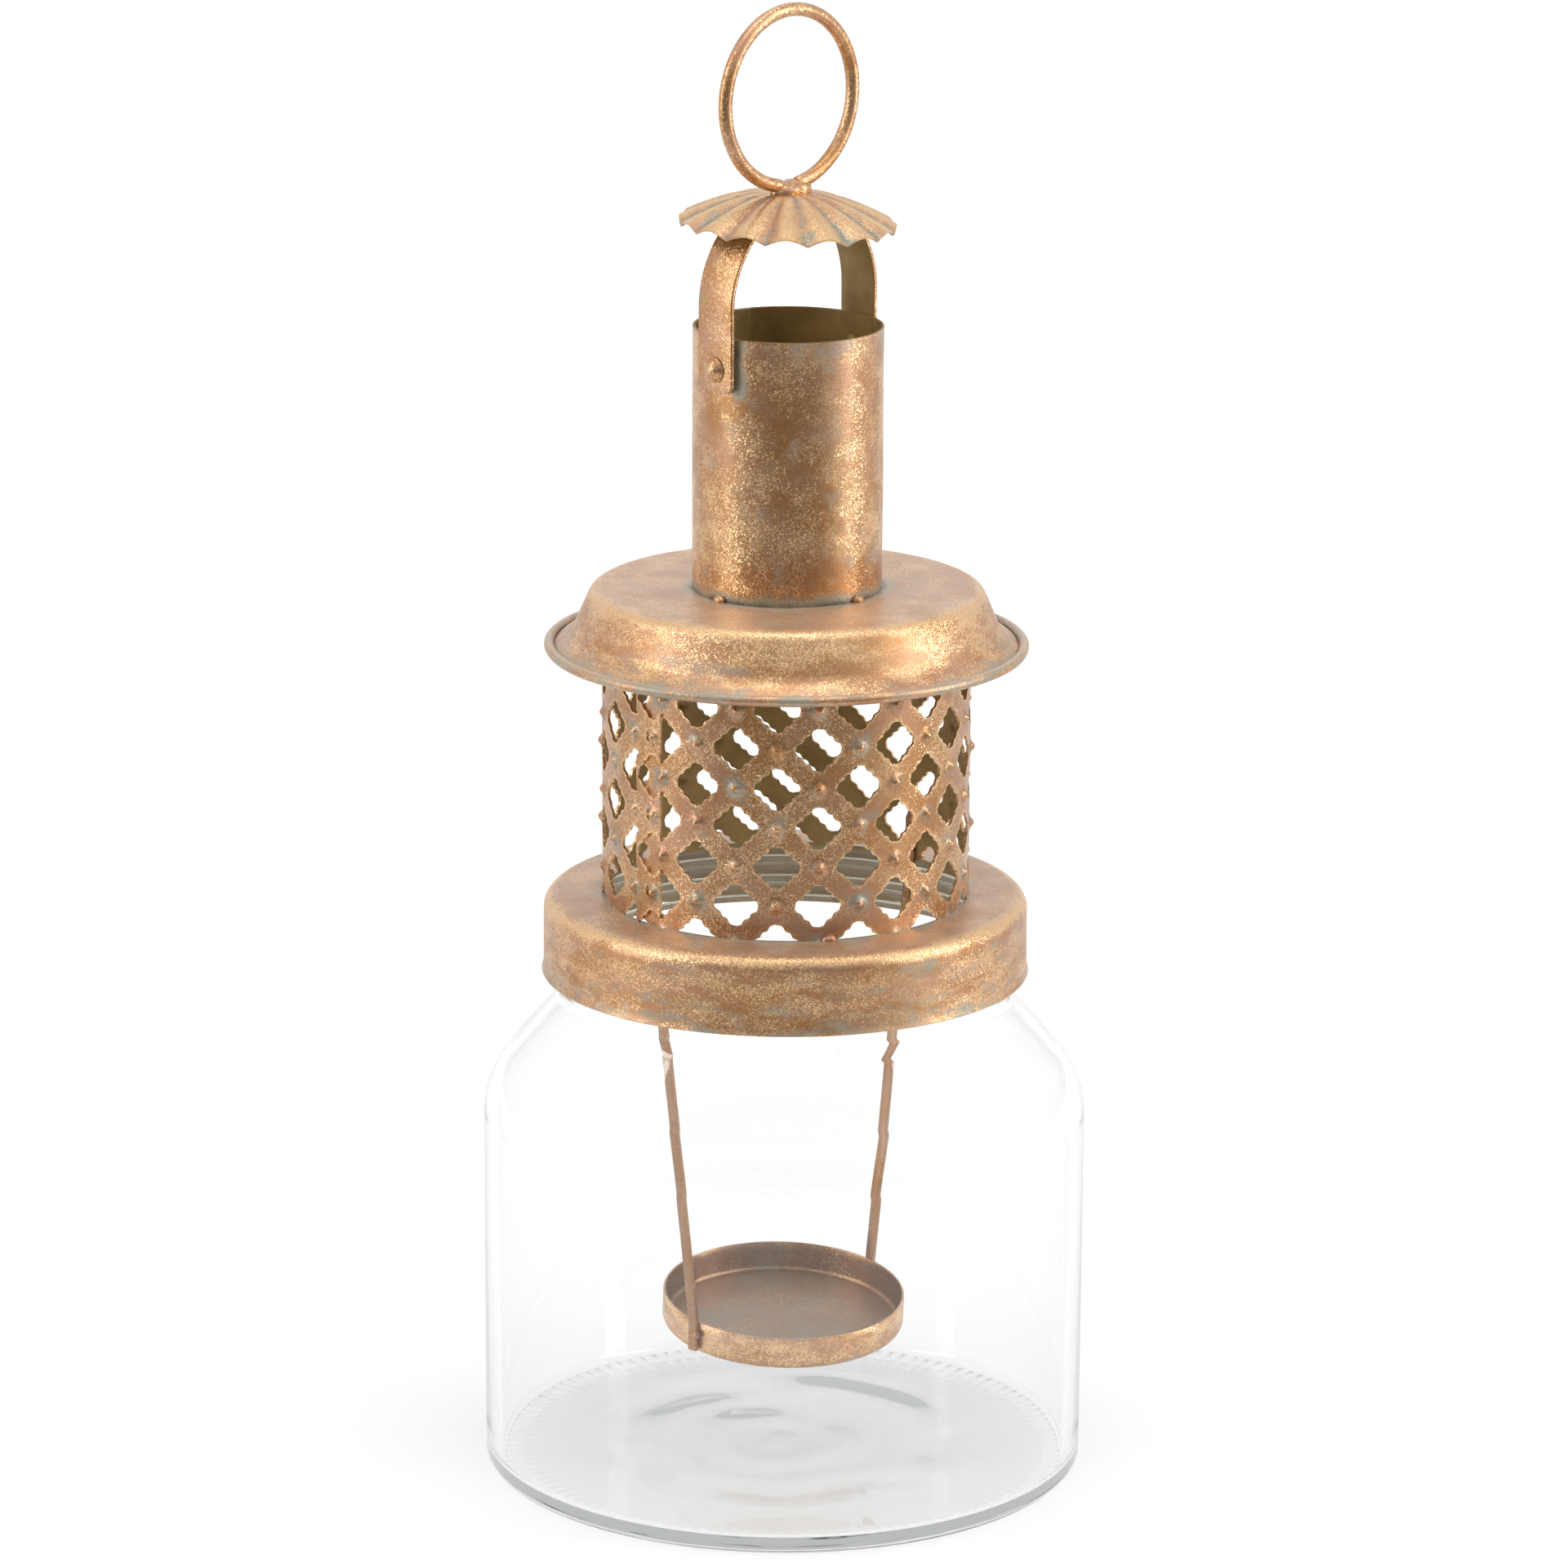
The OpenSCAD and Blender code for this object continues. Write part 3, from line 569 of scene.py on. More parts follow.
# %% Sizes of the jar
low, high = span("glass_jar")
JAR_R, JAR_H = (high[0] - low[0]) / 2, high[2]
WALL = 2.6
NECK_R, NECK_HOLLOW_R = 40.95, 4.0
SHOULDER_R, SHOULDER_Z, SLOPE = 17.0, 66.3, 41.2
HEEL_R, INNER_HEEL_R = 2.4, 1.5
FOOT_R, FOOT_Z, FLOOR_Z = 48.5, 0.7, 2.7  # the foot ring, the underside's rise, the inner floor
RIM_R = 1
BEAD_R, BEAD_OUT, BEAD_ARC = 1.3, 43.15, 130
BEAD_DOWN, BEAD_STEP = 3.2, 3.8  # from the rim to the first bead, and from bead to bead

# The hollow where shoulder meets neck is an arc that touches the shoulder's and the neck's line
SHOULDER = (JAR_R - SHOULDER_R, SHOULDER_Z, SHOULDER_R)
slope_x, slope_z = math.cos(math.radians(SLOPE)), math.sin(math.radians(SLOPE))
run = SHOULDER[0] * slope_x + SHOULDER[1] * slope_z + SHOULDER[2]
hollow_x = NECK_R + NECK_HOLLOW_R
hollow_z = (run + NECK_HOLLOW_R - hollow_x * slope_x) / slope_z
print("jar", round(2 * JAR_R, 1), "by", round(float(JAR_H), 1), "mm")

# %% Profile of the jar
mouth_r = NECK_R - WALL
heel_x = JAR_R - WALL - INNER_HEEL_R
beads = [point for i in (2, 1, 0) for point in arc(
    BEAD_OUT - BEAD_R, JAR_H - BEAD_DOWN - BEAD_STEP * i, BEAD_R, -BEAD_ARC, BEAD_ARC, 16)]
outside = ([(r, FOOT_Z * (1 - (r / FOOT_R) ** 2)) for r in range(0, 48, 3)] + [(FOOT_R, 0)]
           + arc(JAR_R - HEEL_R, HEEL_R, HEEL_R, -90, 0, 14)
           + arc(*SHOULDER, 0, SLOPE, 18)
           + arc(hollow_x, hollow_z, NECK_HOLLOW_R, 180 + SLOPE, 180, 8)
           + beads
           + arc(NECK_R - RIM_R, JAR_H - RIM_R, RIM_R, 0, 90, 6))
inside = (arc(mouth_r + RIM_R, JAR_H - RIM_R, RIM_R, 90, 180, 6)
          + arc(hollow_x, hollow_z, NECK_HOLLOW_R + WALL, 180, 180 + SLOPE, 8)
          + arc(SHOULDER[0], SHOULDER[1], SHOULDER[2] - WALL, SLOPE, 0, 18)
          + arc(heel_x, FLOOR_Z + INNER_HEEL_R, INNER_HEEL_R, 0, -85, 10)
          + [(r, FLOOR_Z) for r in range(48, -1, -2)])
print("points in the jar's profile:", len(outside) + len(inside))

# %% Nubs, rings and the finished jar
NUBS, NUB_H = 120, 0.14
NUB_R, NUB_Z = 54, 2.8            # outer end and height of the band that the nubs lie in
RINGS_R, RINGS_FADE = 40, 10      # radius of the plunger's rings, and the width they fade over
RING_H, WANDER_H, WANDER_SIZE = 0.2, 0.6, 18
RING_WAVE, RING_SHIFT = 0.45, 3   # radians per millimetre, and radians that the wander adds


def nubbed(angle, r, z):
    """The ripple of nubs round the outer heel, and the uneven rings that the plunger left."""
    if r < RINGS_R and z > FOOT_Z + 1:
        spot = Vector((r * math.cos(angle), r * math.sin(angle), 0))
        wander = noise.noise(spot / WANDER_SIZE)
        ring = RING_H * math.sin(r * RING_WAVE + RING_SHIFT * wander)
        return r, z + min(1, (RINGS_R - r) / RINGS_FADE) * (ring + WANDER_H * wander)
    if FOOT_R < r < NUB_R and z < NUB_Z:
        across = math.sin((r - FOOT_R) / (NUB_R - FOOT_R) * math.pi)
        return r, z + NUB_H * max(0.0, math.cos(angle * NUBS)) * across
    return r, z


jar_mesh = turned("clear_jar", outside, inside, [clear_glass, clear_glass], segments=4 * NUBS,
                  shape=nubbed)
finish_mesh("clear_jar", jar_mesh, "jar", "glass_jar")

# %% [markdown]
# ## Cap
# The cap is drawn from one disc: a flat plate with a hole for the band, a rounded corner and a
# skirt that slips over the neck's beads. Its lower edge flares a little where it was trimmed. Wash
# and dirt gather where the band stands on the plate, darkened there as painted shade. The cloth
# wore the corner bright, which also paints in the corner's highlight.

# %% Cap
low, high = span("cap_shell")
CAP_R, CAP_TOP, CAP_FOOT = 44.0, high[2], low[2]
CORNER_R = 2.8
LIP = 0.35
# The hem's flare: how far out of the skirt, and how high over its foot
HEM = ((0, 6), (0.02, 1.6), (0.15, 0.7), (LIP, 0.15), (LIP - 0.1, 0))
HEM_INSIDE = ((LIP - SHEET, 0.05), (-SHEET, 1.3))
BAND_R = 33.4
HOLE_R = BAND_R - SHEET
BAND_RINGS = (0.2, 0.8, 1.5, 2.5, 4)  # rings of the plate outside the band, where wash gathers


def cap_grime_and_painted_light(angle, r, z):
    """Wash and dirt at the band's foot, which is also painted shade there, and a little at the
    hem, and leaf on the corner, which is also a painted highlight.
    """
    return (1.5 * near(math.hypot(r - BAND_R, z - CAP_TOP), 2.2)
            + 0.5 * near(z - CAP_FOOT, 5) * (r > HOLE_R + 5)
            - near(math.hypot(r - CAP_R + 0.8, z - CAP_TOP + 0.8), 2.2))


corner_x, corner_z = CAP_R - CORNER_R, CAP_TOP - CORNER_R
outside = ([(HOLE_R, CAP_TOP)] + [(BAND_R + off, CAP_TOP) for off in BAND_RINGS]
           + arc(corner_x, corner_z, CORNER_R, 90, 0, 12)
           + [(CAP_R + out, CAP_FOOT + up) for out, up in HEM])
inside = ([(CAP_R + out, CAP_FOOT + up) for out, up in HEM_INSIDE]
          + arc(corner_x, corner_z, CORNER_R - SHEET, 0, 90, 12)
          + [(HOLE_R, CAP_TOP - SHEET)])
cap_mesh = turned("slip_cap", outside, inside, [turned_gold, olive_lacquer], dent=0.12,
                  grime=cap_grime_and_painted_light)
finish_mesh("slip_cap", cap_mesh, "lid", "cap_shell")

# %% [markdown]
# ## Canopy
# The canopy is a spun dish turned upside down. Its rim is rolled up and over into a bead, which
# stiffens the thin sheet and hides the cut edge, and leaves a fine groove between bead and brim.
# The corner, the leaning side, the hollow and the roll are arcs that touch each other, so light
# runs over them without a kink. The hollow's middle lies as far from the side's line as from the
# brim's, which two equations give.

# %% Sizes of the canopy
CANOPY_TOP = span("canopy")[1][2]
CHIMNEY_R = 17.1
OVERHANG, DISH_R = 2.7, 2.6   # the corner's reach past the band, and its radius
BRIM_OUT, BRIM_DROP = 7.65, 10.65
ROLL_R, HOLLOW_R = 0.95, 5.0
TOP_RINGS = (17.6, 18.2, 19, 20, 21.5, 24, 28, 32)  # closest where dirt gathers
ROLL_IN_R = ROLL_R - SHEET
LEAN, BRIM = math.radians(23), math.radians(54)
DISH = (BAND_R + OVERHANG - DISH_R, CANOPY_TOP - DISH_R, DISH_R)
ROLL = (BAND_R + OVERHANG + BRIM_OUT - ROLL_R, CANOPY_TOP - BRIM_DROP)
side_run = DISH[0] * math.cos(LEAN) + DISH[1] * math.sin(LEAN) + DISH[2] + HOLLOW_R
brim_run = ROLL[0] * math.cos(BRIM) + ROLL[1] * math.sin(BRIM) - ROLL_IN_R + HOLLOW_R
across = math.sin(BRIM - LEAN)
hollow = ((side_run * math.sin(BRIM) - brim_run * math.sin(LEAN)) / across,
          (brim_run * math.cos(LEAN) - side_run * math.cos(BRIM)) / across)
print("canopy", round(2 * (ROLL[0] + ROLL_R), 1), "mm across")

# %% Canopy
def canopy_grime_and_painted_light(angle, r, z):
    """Dirt round the chimney's foot, which is also painted shade, wash in the brim's hollow, and
    leaf on the corner, which is also a painted highlight.
    """
    return (2.0 * near(math.hypot(r - CHIMNEY_R, z - CANOPY_TOP), 2.8)
            - near(math.hypot(r - DISH[0] - 1.6, z - DISH[1] - 2.0), 2.2)
            + 0.8 * near(ROLL[0] - r, 4) * (z < ROLL[1] + 4))


lean, brim = math.degrees(LEAN), math.degrees(BRIM)
curl_start, curl_end = brim - 180, brim + 109
outside = ([(CHIMNEY_R - SHEET, CANOPY_TOP)]
           + [(r, CANOPY_TOP - 0.03) for r in TOP_RINGS]
           + arc(*DISH, 90, lean, 12) + arc(*hollow, HOLLOW_R, 180 + lean, 180 + brim, 12)
           + arc(*ROLL, ROLL_IN_R, curl_start, curl_end, 20)
           + arc(*ROLL, ROLL_R, curl_end, curl_start, 28))
inside = (arc(*hollow, HOLLOW_R + SHEET, 180 + brim, 180 + lean, 12)
          + arc(DISH[0], DISH[1], DISH[2] - SHEET, lean, 90, 10)
          + [(CHIMNEY_R - SHEET, CANOPY_TOP - SHEET)])
canopy_mesh = turned("dish_canopy", outside, inside, [turned_gold, olive_lacquer], dent=0.2,
                     dent_size=26, grime=canopy_grime_and_painted_light)
finish_mesh("dish_canopy", canopy_mesh, "lid", "canopy")

# %% [markdown]
# ## Chimney
# The chimney is a strip rolled to a tube and closed with a lap, which shows as an upright step
# inside. The tube's radius therefore depends on the angle near the lap: the inner wall steps in
# by one thickness of sheet.

# %% Chimney
low, high = span("chimney_tube")
CHIMNEY_FOOT, CHIMNEY_TOP = low[2], high[2]
strap_low, strap_high = span("bail_strap")
SEAM, SEAM_HALF = math.radians(79), math.radians(8.5)
EDGE = 0.12
RUNS = 48  # stretches of the outside, so that wash can gather by height
INNER_R = CHIMNEY_R - SHEET


def tube_grime_and_painted_shade(angle, r, z):
    """Dirt and painted shadow in the corner with the canopy and beside the strap's feet, and a
    washed rim.
    """
    beside_strap_shadow = near(abs(CHIMNEY_R * math.sin(angle)) - strap_high[1], 2.2) * (z > strap_low[2] - 0.5)
    return 2.0 * near(z - CANOPY_TOP, 3) + 0.6 * near(CHIMNEY_TOP - z, 6) + 1.5 * beside_strap_shadow


def lapped(angle, r, z):
    """Steps the inner wall in where the strip's end is lapped."""
    off = abs((angle - SEAM + math.pi) % (2 * math.pi) - math.pi)
    return (r - SHEET, z) if r < INNER_R + 0.05 and off < SEAM_HALF else (r, z)


outside = [(CHIMNEY_R, CHIMNEY_TOP - EDGE)] + [
    (CHIMNEY_R, CHIMNEY_TOP - (CHIMNEY_TOP - CHIMNEY_FOOT) * i / RUNS) for i in range(1, RUNS + 1)]
inside = [(INNER_R, CHIMNEY_FOOT), (INNER_R, CHIMNEY_TOP - EDGE),
          (CHIMNEY_R - SHEET / 2, CHIMNEY_TOP)]
chimney_mesh = turned("rolled_chimney", outside, inside, [tube_gold, olive_lacquer], segments=224,
                      dent=0.1, dent_size=16, shape=lapped, grime=tube_grime_and_painted_shade)
finish_mesh("rolled_chimney", chimney_mesh, "lid", "chimney_tube")

# %% [markdown]
# ## Perforated band
# The band is cut from decorative perforated strip: diamond openings with three small waves on
# each side, and a pressed point at every crossing. One opening with the metal round it is the
# repeat. It could be cut out of a tube with booleans, but those leave long thin triangles that
# can't take the pressed points. Here the repeat is a ring of quads, from the waved edge of the
# opening to a diamond cell. Its rings and its sides are finest at the crossings, where the points
# are pressed. Geometry Nodes then lay it out on a staggered grid and roll the sheet.

# %% One opening and its cell
COLUMNS, ROWS = 14, 9
PITCH = 2 * math.pi * BAND_R / COLUMNS
RISE = 7.15
STRIP = 4.1                                    # width of the metal between openings
WAVE, WAVES = 0.17, 3                          # half height of a wave, and waves on a side
SWELL, BLUNT = 0.12, 0.07                      # how far the sides swell, and share off each tip
CELL_SIDE, CROWDING = 14, 0.4                  # quads along a side, and how they crowd its ends
CELL_RINGS = (0.0, 0.1, 0.42, 0.7, 0.87, 1.0)  # from the opening's edge to the cell's
# The edges' leaf is worn gold that also paints in the highlight that the openings' edges catch
CELL_EDGE_WEAR_AND_HIGHLIGHT = (1.0, 0.6, 0.0, 0.0, 0.0, 0.0)     # how much each ring is rubbed as an edge
TIPS = [(1, 0), (0, 1), (-1, 0), (0, -1)]


def on_side(side, share, half_w, half_h):
    """A point on one side of a diamond, at a share of the way from tip to tip."""
    a, b = TIPS[side], TIPS[(side + 1) % 4]
    return Vector(((a[0] * (1 - share) + b[0] * share) * half_w,
                   (a[1] * (1 - share) + b[1] * share) * half_h))


def cell_mesh():
    """A diamond cell with a waved opening, flat in XY."""
    around, steps = 4 * CELL_SIDE, len(CELL_RINGS)
    half_w, trim = PITCH / 2, STRIP / math.sqrt(2)
    points, faces = [], []
    for k in range(around):
        side, place = divmod(k, CELL_SIDE)
        t = place / CELL_SIDE
        crowded = t - CROWDING * math.sin(2 * math.pi * t) / (2 * math.pi)
        outer = on_side(side, crowded, half_w, RISE)
        inner = on_side(side, BLUNT + (1 - 2 * BLUNT) * t, half_w - trim, RISE - trim)
        inner += inner.normalized() * (SWELL - WAVE * math.cos(t * 2 * WAVES * math.pi))
        points += [tuple(inner.lerp(outer, share)) + (0,) for share in CELL_RINGS]
        after = (k + 1) % around
        faces += [(k * steps + i, k * steps + i + 1, after * steps + i + 1, after * steps + i)
                  for i in range(steps - 1)]
    mesh = new_mesh("opening_cell", points, faces)
    mesh.attributes.new("edge", "FLOAT", "POINT").data.foreach_set("value", CELL_EDGE_WEAR_AND_HIGHLIGHT * around)
    return mesh


cell = linked("opening_cell", cell_mesh())
print("pitch round the band", round(PITCH, 2), "mm")

# %% [markdown]
# A Geometry Nodes tree starts from a line of points, one for each opening. The point's number
# gives its row and column, and odd rows are moved half a pitch along, which staggers the grid.

# %% Lay the cells out on a staggered grid
def new_tree(name, takes):
    """A Geometry Nodes tree and its inputs. takes gives each input's value, or its kind."""
    tree = bpy.data.node_groups.new(name, "GeometryNodeTree")
    tree.interface.new_socket("Geometry", in_out="OUTPUT", socket_type="NodeSocketGeometry")
    for label, value in takes.items():
        kind = {int: "Int", float: "Float"}.get(type(value), value)
        made = tree.interface.new_socket(label, in_out="INPUT", socket_type="NodeSocket" + kind)
        if kind != value:
            made.default_value = value
    return tree, add(tree, "NodeGroupInput", out=None)


strip_tree, given = new_tree("perforated_strip", {
    "Cell": "Object", "Columns": COLUMNS, "Rows": ROWS, "Pitch": PITCH * MM, "Rise": RISE * MM,
    "Radius": BAND_R * MM, "First height": 0.0, "Turn": 0.0, "Turn per column": 0.0,
    "Point height": 0.85 * MM, "Point radius": 1.45 * MM})
tree = strip_tree
count = add(tree, MATH, (given["Columns"], given["Rows"]), operation="MULTIPLY")
spots = add(tree, "GeometryNodeMeshLine", {"Count": count})
index = add(tree, "GeometryNodeInputIndex")
within = add(tree, MATH, (index, 0.5), operation="ADD")
rows_up = add(tree, MATH, (within, given["Columns"]), operation="DIVIDE")
row = add(tree, MATH, (rows_up,), operation="FLOOR")
before = add(tree, MATH, (row, given["Columns"]), operation="MULTIPLY")
column = add(tree, MATH, (index, before), operation="SUBTRACT")
odd = add(tree, MATH, (row, 2.0), operation="MODULO")
staggered = add(tree, MATH, (odd, 0.5, column), operation="MULTIPLY_ADD")
flat_place = add(tree, "ShaderNodeCombineXYZ", (
    add(tree, MATH, (staggered, given["Pitch"]), operation="MULTIPLY"),
    add(tree, MATH, (row, given["Rise"]), operation="MULTIPLY")))
placed = add(tree, "GeometryNodeSetPosition", {"Geometry": spots, "Position": flat_place})
opening = add(tree, "GeometryNodeObjectInfo", {"Object": given["Cell"]}, out="Geometry")
laid = add(tree, "GeometryNodeInstanceOnPoints", {"Points": placed, "Instance": opening})
flat_strip = add(tree, "GeometryNodeRealizeInstances", (laid,))
print("cells in a strip:", COLUMNS * ROWS)

# %% [markdown]
# The pressed points stand at the crossings. These lie half a pitch beside each opening, or one
# rise above it, so they form two grids, and the nearer of the two counts. Wrapping a place to
# half a step either way gives its distance from the nearest crossing of a grid.

# %% Distance from the nearest crossing
here = add(tree, "GeometryNodeInputPosition")
xyz = add(tree, "ShaderNodeSeparateXYZ", (here,), out=None)
double_rise = add(tree, MATH, (given["Rise"], 2.0), operation="MULTIPLY")
u = add(tree, MATH, (xyz["X"], given["Pitch"]), operation="DIVIDE")
v = add(tree, MATH, (xyz["Y"], double_rise), operation="DIVIDE")
distances = []
for shifts in ((0.0, 0.5), (0.5, 0.0)):
    sides = []
    for place, shift, size in zip((u, v), shifts, (given["Pitch"], double_rise)):
        past = add(tree, MATH, (place, shift), operation="SUBTRACT")
        wrapped = add(tree, MATH, (past, 0.5, -0.5), operation="WRAP")
        sides.append(add(tree, MATH, (wrapped, size), operation="MULTIPLY"))
    away = add(tree, "ShaderNodeCombineXYZ", sides)
    distances.append(add(tree, VECTOR, (away,), out="Value", operation="LENGTH"))
closest = add(tree, MATH, distances, operation="MINIMUM")
print("crossings: two grids of", COLUMNS, "round the band")

# %% [markdown]
# A point is pressed out where the sheet is near a crossing, steeply at its side and round on its
# top. Rolling turns the way along the strip to an angle and adds the pressing to the radius.

# %% Press the points and roll the sheet
press = add(tree, RANGE, (closest, 0.0, given["Point radius"], given["Point height"], 0.0),
            interpolation_type="SMOOTHERSTEP")
radius = add(tree, MATH, (given["Radius"], press), operation="ADD")
along = add(tree, MATH, (u, given["Turn per column"]), operation="MULTIPLY")
angle = add(tree, MATH, (given["Turn"], along), operation="ADD")
across, forward = (add(tree, MATH, (angle,), operation=kind) for kind in ("COSINE", "SINE"))
rolled = add(tree, "ShaderNodeCombineXYZ", (
    add(tree, MATH, (radius, across), operation="MULTIPLY"),
    add(tree, MATH, (radius, forward), operation="MULTIPLY"),
    add(tree, MATH, (xyz["Y"], given["First height"]), operation="ADD")))
print("radius of the band", BAND_R, "mm")

# %% [markdown]
# The same distance says where the finish is worn. The cloth rubs the tops of the points and the
# edges of the openings, whose leaf also paints in the highlight that the edges catch. It leaves
# the wash in the narrow ring at a point's foot and round it, with dark dirt in that ring that is
# also painted shade at the point's foot.

# %% Mark the wash, the dirt and the painted light, and close the strip's tree
POINT_FOOT = 1.15  # radius of the ring where a point rises from the sheet
STRIP_WELD = 0.02
past = add(tree, MATH, (closest, POINT_FOOT * MM), operation="SUBTRACT")
off_foot = add(tree, MATH, (past,), operation="ABSOLUTE")
# Each mark is strongest up to the first distance and has gone at the second
# The ring at a point's foot carries wash and dirt that is also painted shade; the edges carry leaf
# that is also a painted highlight
MARKS = ((closest, 1.3, 4.6, 0.5), (off_foot, 0.1, 0.6, 0.45), (closest, 0.3, 0.9, 0.9))
round_point, foot_dirt_and_shade, on_point = (add(tree, RANGE, (
    distance, start * MM, end * MM, strength, 0.0)) for distance, start, end, strength in MARKS)
edge = add(tree, "GeometryNodeInputNamedAttribute", {"Name": "edge"})
washed = add(tree, MATH, (round_point, foot_dirt_and_shade), operation="ADD")
rubbed = add(tree, MATH, (on_point, edge), operation="ADD")
grime = add(tree, MATH, (washed, rubbed), operation="SUBTRACT")
marked = add(tree, "GeometryNodeStoreNamedAttribute", {
    "Geometry": flat_strip, "Name": "grime", "Value": grime}, data_type="FLOAT", domain="POINT")
cylinder = add(tree, "GeometryNodeSetPosition", {"Geometry": marked, "Position": rolled})
welded = add(tree, "GeometryNodeMergeByDistance", {
    "Geometry": cylinder, "Distance": STRIP_WELD * MM})
coated = add(tree, "GeometryNodeSetMaterial", {"Geometry": welded, "Material": lattice_gold})
add(tree, "NodeGroupOutput", (coated,), out=None)
print("nodes in the strip's tree:", len(tree.nodes))

# %% [markdown]
# A tree runs on an empty object, and its result is kept as a plain mesh. The strip is then cut by
# planes at the band's foot and top, as a length of it is in the shop, and Solidify gives it its
# thickness last, with the lacquer on its inner side and worn gold on the cut edges. That gold also
# paints in the edges' highlight.

# %% Plain meshes, cuts and thickness
def plain(holder, name):
    """An object's mesh with its modifiers applied. The object is removed."""
    ready = holder.evaluated_get(bpy.context.evaluated_depsgraph_get())
    mesh = bpy.data.meshes.new_from_object(ready)
    mesh.name = name
    mesh.polygons.foreach_set("use_smooth", [True] * len(mesh.polygons))
    bpy.data.objects.remove(holder)
    return mesh


def grown(tree, name, values):
    """Runs a Geometry Nodes tree with the given inputs."""
    holder = linked(name, bpy.data.meshes.new(name))
    modifier = holder.modifiers.new(tree.name, "NODES")
    modifier.node_group = tree
    keys = {item.name: item.identifier for item in tree.interface.items_tree
            if item.in_out == "INPUT"}
    for label, value in values.items():
        modifier[keys[label]] = value
    bpy.context.view_layer.update()
    return plain(holder, name)


def cut(mesh, planes):
    """Keeps the side of each plane (point, normal) that the normal points away from."""
    body = bmesh.new()
    body.from_mesh(mesh)
    for point, normal in planes:
        bmesh.ops.bisect_plane(body, geom=body.verts[:] + body.edges[:] + body.faces[:],
                               dist=1e-7, plane_co=point, plane_no=normal, clear_outer=True)
    bmesh.ops.remove_doubles(body, verts=body.verts, dist=STRIP_WELD * MM)
    body.to_mesh(mesh)
    body.free()
    return mesh


def thick(mesh, rim_slot=0):
    """Gives a sheet its thickness inwards. The inner side takes the second finish."""
    holder = linked("sheet", mesh)
    solid = holder.modifiers.new("thickness", "SOLIDIFY")
    solid.thickness, solid.offset, solid.use_even_offset = SHEET * MM, -1.0, True
    solid.material_offset, solid.material_offset_rim = 1, rim_slot
    return plain(holder, mesh.name)


print("sheet tools ready")

# %% [markdown]
# The band goes once round, and a short second stretch of strip lies over its ends as the lap. It
# came from another place of the strip, so its openings don't meet those below.

# %% Wrap the band and lap its ends
band_low, band_high = span("lattice_band")
BAND_FOOT, BAND_TOP = band_low[2], band_high[2]
FIRST_ROW = 6.25                      # from the band's foot to the middle of the second row
TURN, LAP_ANGLE, LAP = 4.2, 178.8, 6.2
LAP_TURN = math.degrees(LAP / BAND_R)
column_turn = 2 * math.pi / COLUMNS


def joined(name, meshes):
    """Several meshes with the same finishes as one."""
    body = bmesh.new()
    for mesh in meshes:
        body.from_mesh(mesh)
    made = bpy.data.meshes.new(name)
    body.to_mesh(made)
    body.free()
    for finish in meshes[0].materials:
        made.materials.append(finish)
    return made


def strip_part(name, columns, turn, radius, planes):
    """A stretch of the perforated strip, rolled, trimmed by planes and given its thickness."""
    sheet = cut(grown(strip_tree, name, {
        "Cell": cell, "Columns": columns, "Rows": ROWS, "Radius": radius * MM,
        "First height": (BAND_FOOT + FIRST_ROW - RISE) * MM, "Turn per column": column_turn,
        "Turn": math.radians(turn) + column_turn / 2}), planes)
    sheet.materials.append(olive_lacquer)
    sheet.materials.append(cut_edge_gold_and_highlight)
    return thick(sheet, rim_slot=2)


ends = [((0, 0, BAND_FOOT * MM), (0, 0, -1)), ((0, 0, BAND_TOP * MM), (0, 0, 1))]
start, end = (math.radians(LAP_ANGLE + side * LAP_TURN / 2) for side in (-1, 1))
sides = [((0, 0, 0), (math.sin(start), -math.cos(start), 0)),
         ((0, 0, 0), (-math.sin(end), math.cos(end), 0))]
band = strip_part("band_wrap", COLUMNS, TURN, BAND_R - 0.1, ends)
lap = strip_part("band_lap", 2, LAP_ANGLE - LAP_TURN, BAND_R + SHEET - 0.1, ends + sides)
bpy.data.objects.remove(cell)
finish_mesh("perforated_band", joined("perforated_band", [band, lap]), "lid",
            "lattice_band")

# %% [markdown]
# ## Strips of sheet
# The bail's strap and the two hangers are flat strips, bent in one plane. A strip is swept along
# its bent line: at every station stands a rectangle with rounded corners, whose width may shrink
# towards an end, to round the strap's feet or to point a hanger. The side that faces the bend's
# outside takes one finish and the other side another. A round wire is swept in the same way, so
# both get their faces from one function.

# %% Sweep a strip
INNER_SIDE = range(8, 13)  # the points of a section that lie on the bend's inside
WOBBLE_SIZE = 9            # size of the strip's handmade unevenness


def tube_faces(stations, around, clockwise=False):
    """Quads between rings of points, one ring for each station, and a flat face at each end.
    Points that run round the section clockwise, as seen from the end, need the other turn."""
    quads = []
    for i in range(stations - 1):
        for k in range(around):
            a, b = i * around + k, i * around + (k + 1) % around
            quads.append((a, a + around, b + around, b))
    last = (stations - 1) * around
    ends = [tuple(range(around)), tuple(last + k for k in reversed(range(around)))]
    if clockwise:
        return [(a, d, c, b) for a, b, c, d in quads] + [end[::-1] for end in ends]
    return quads + ends


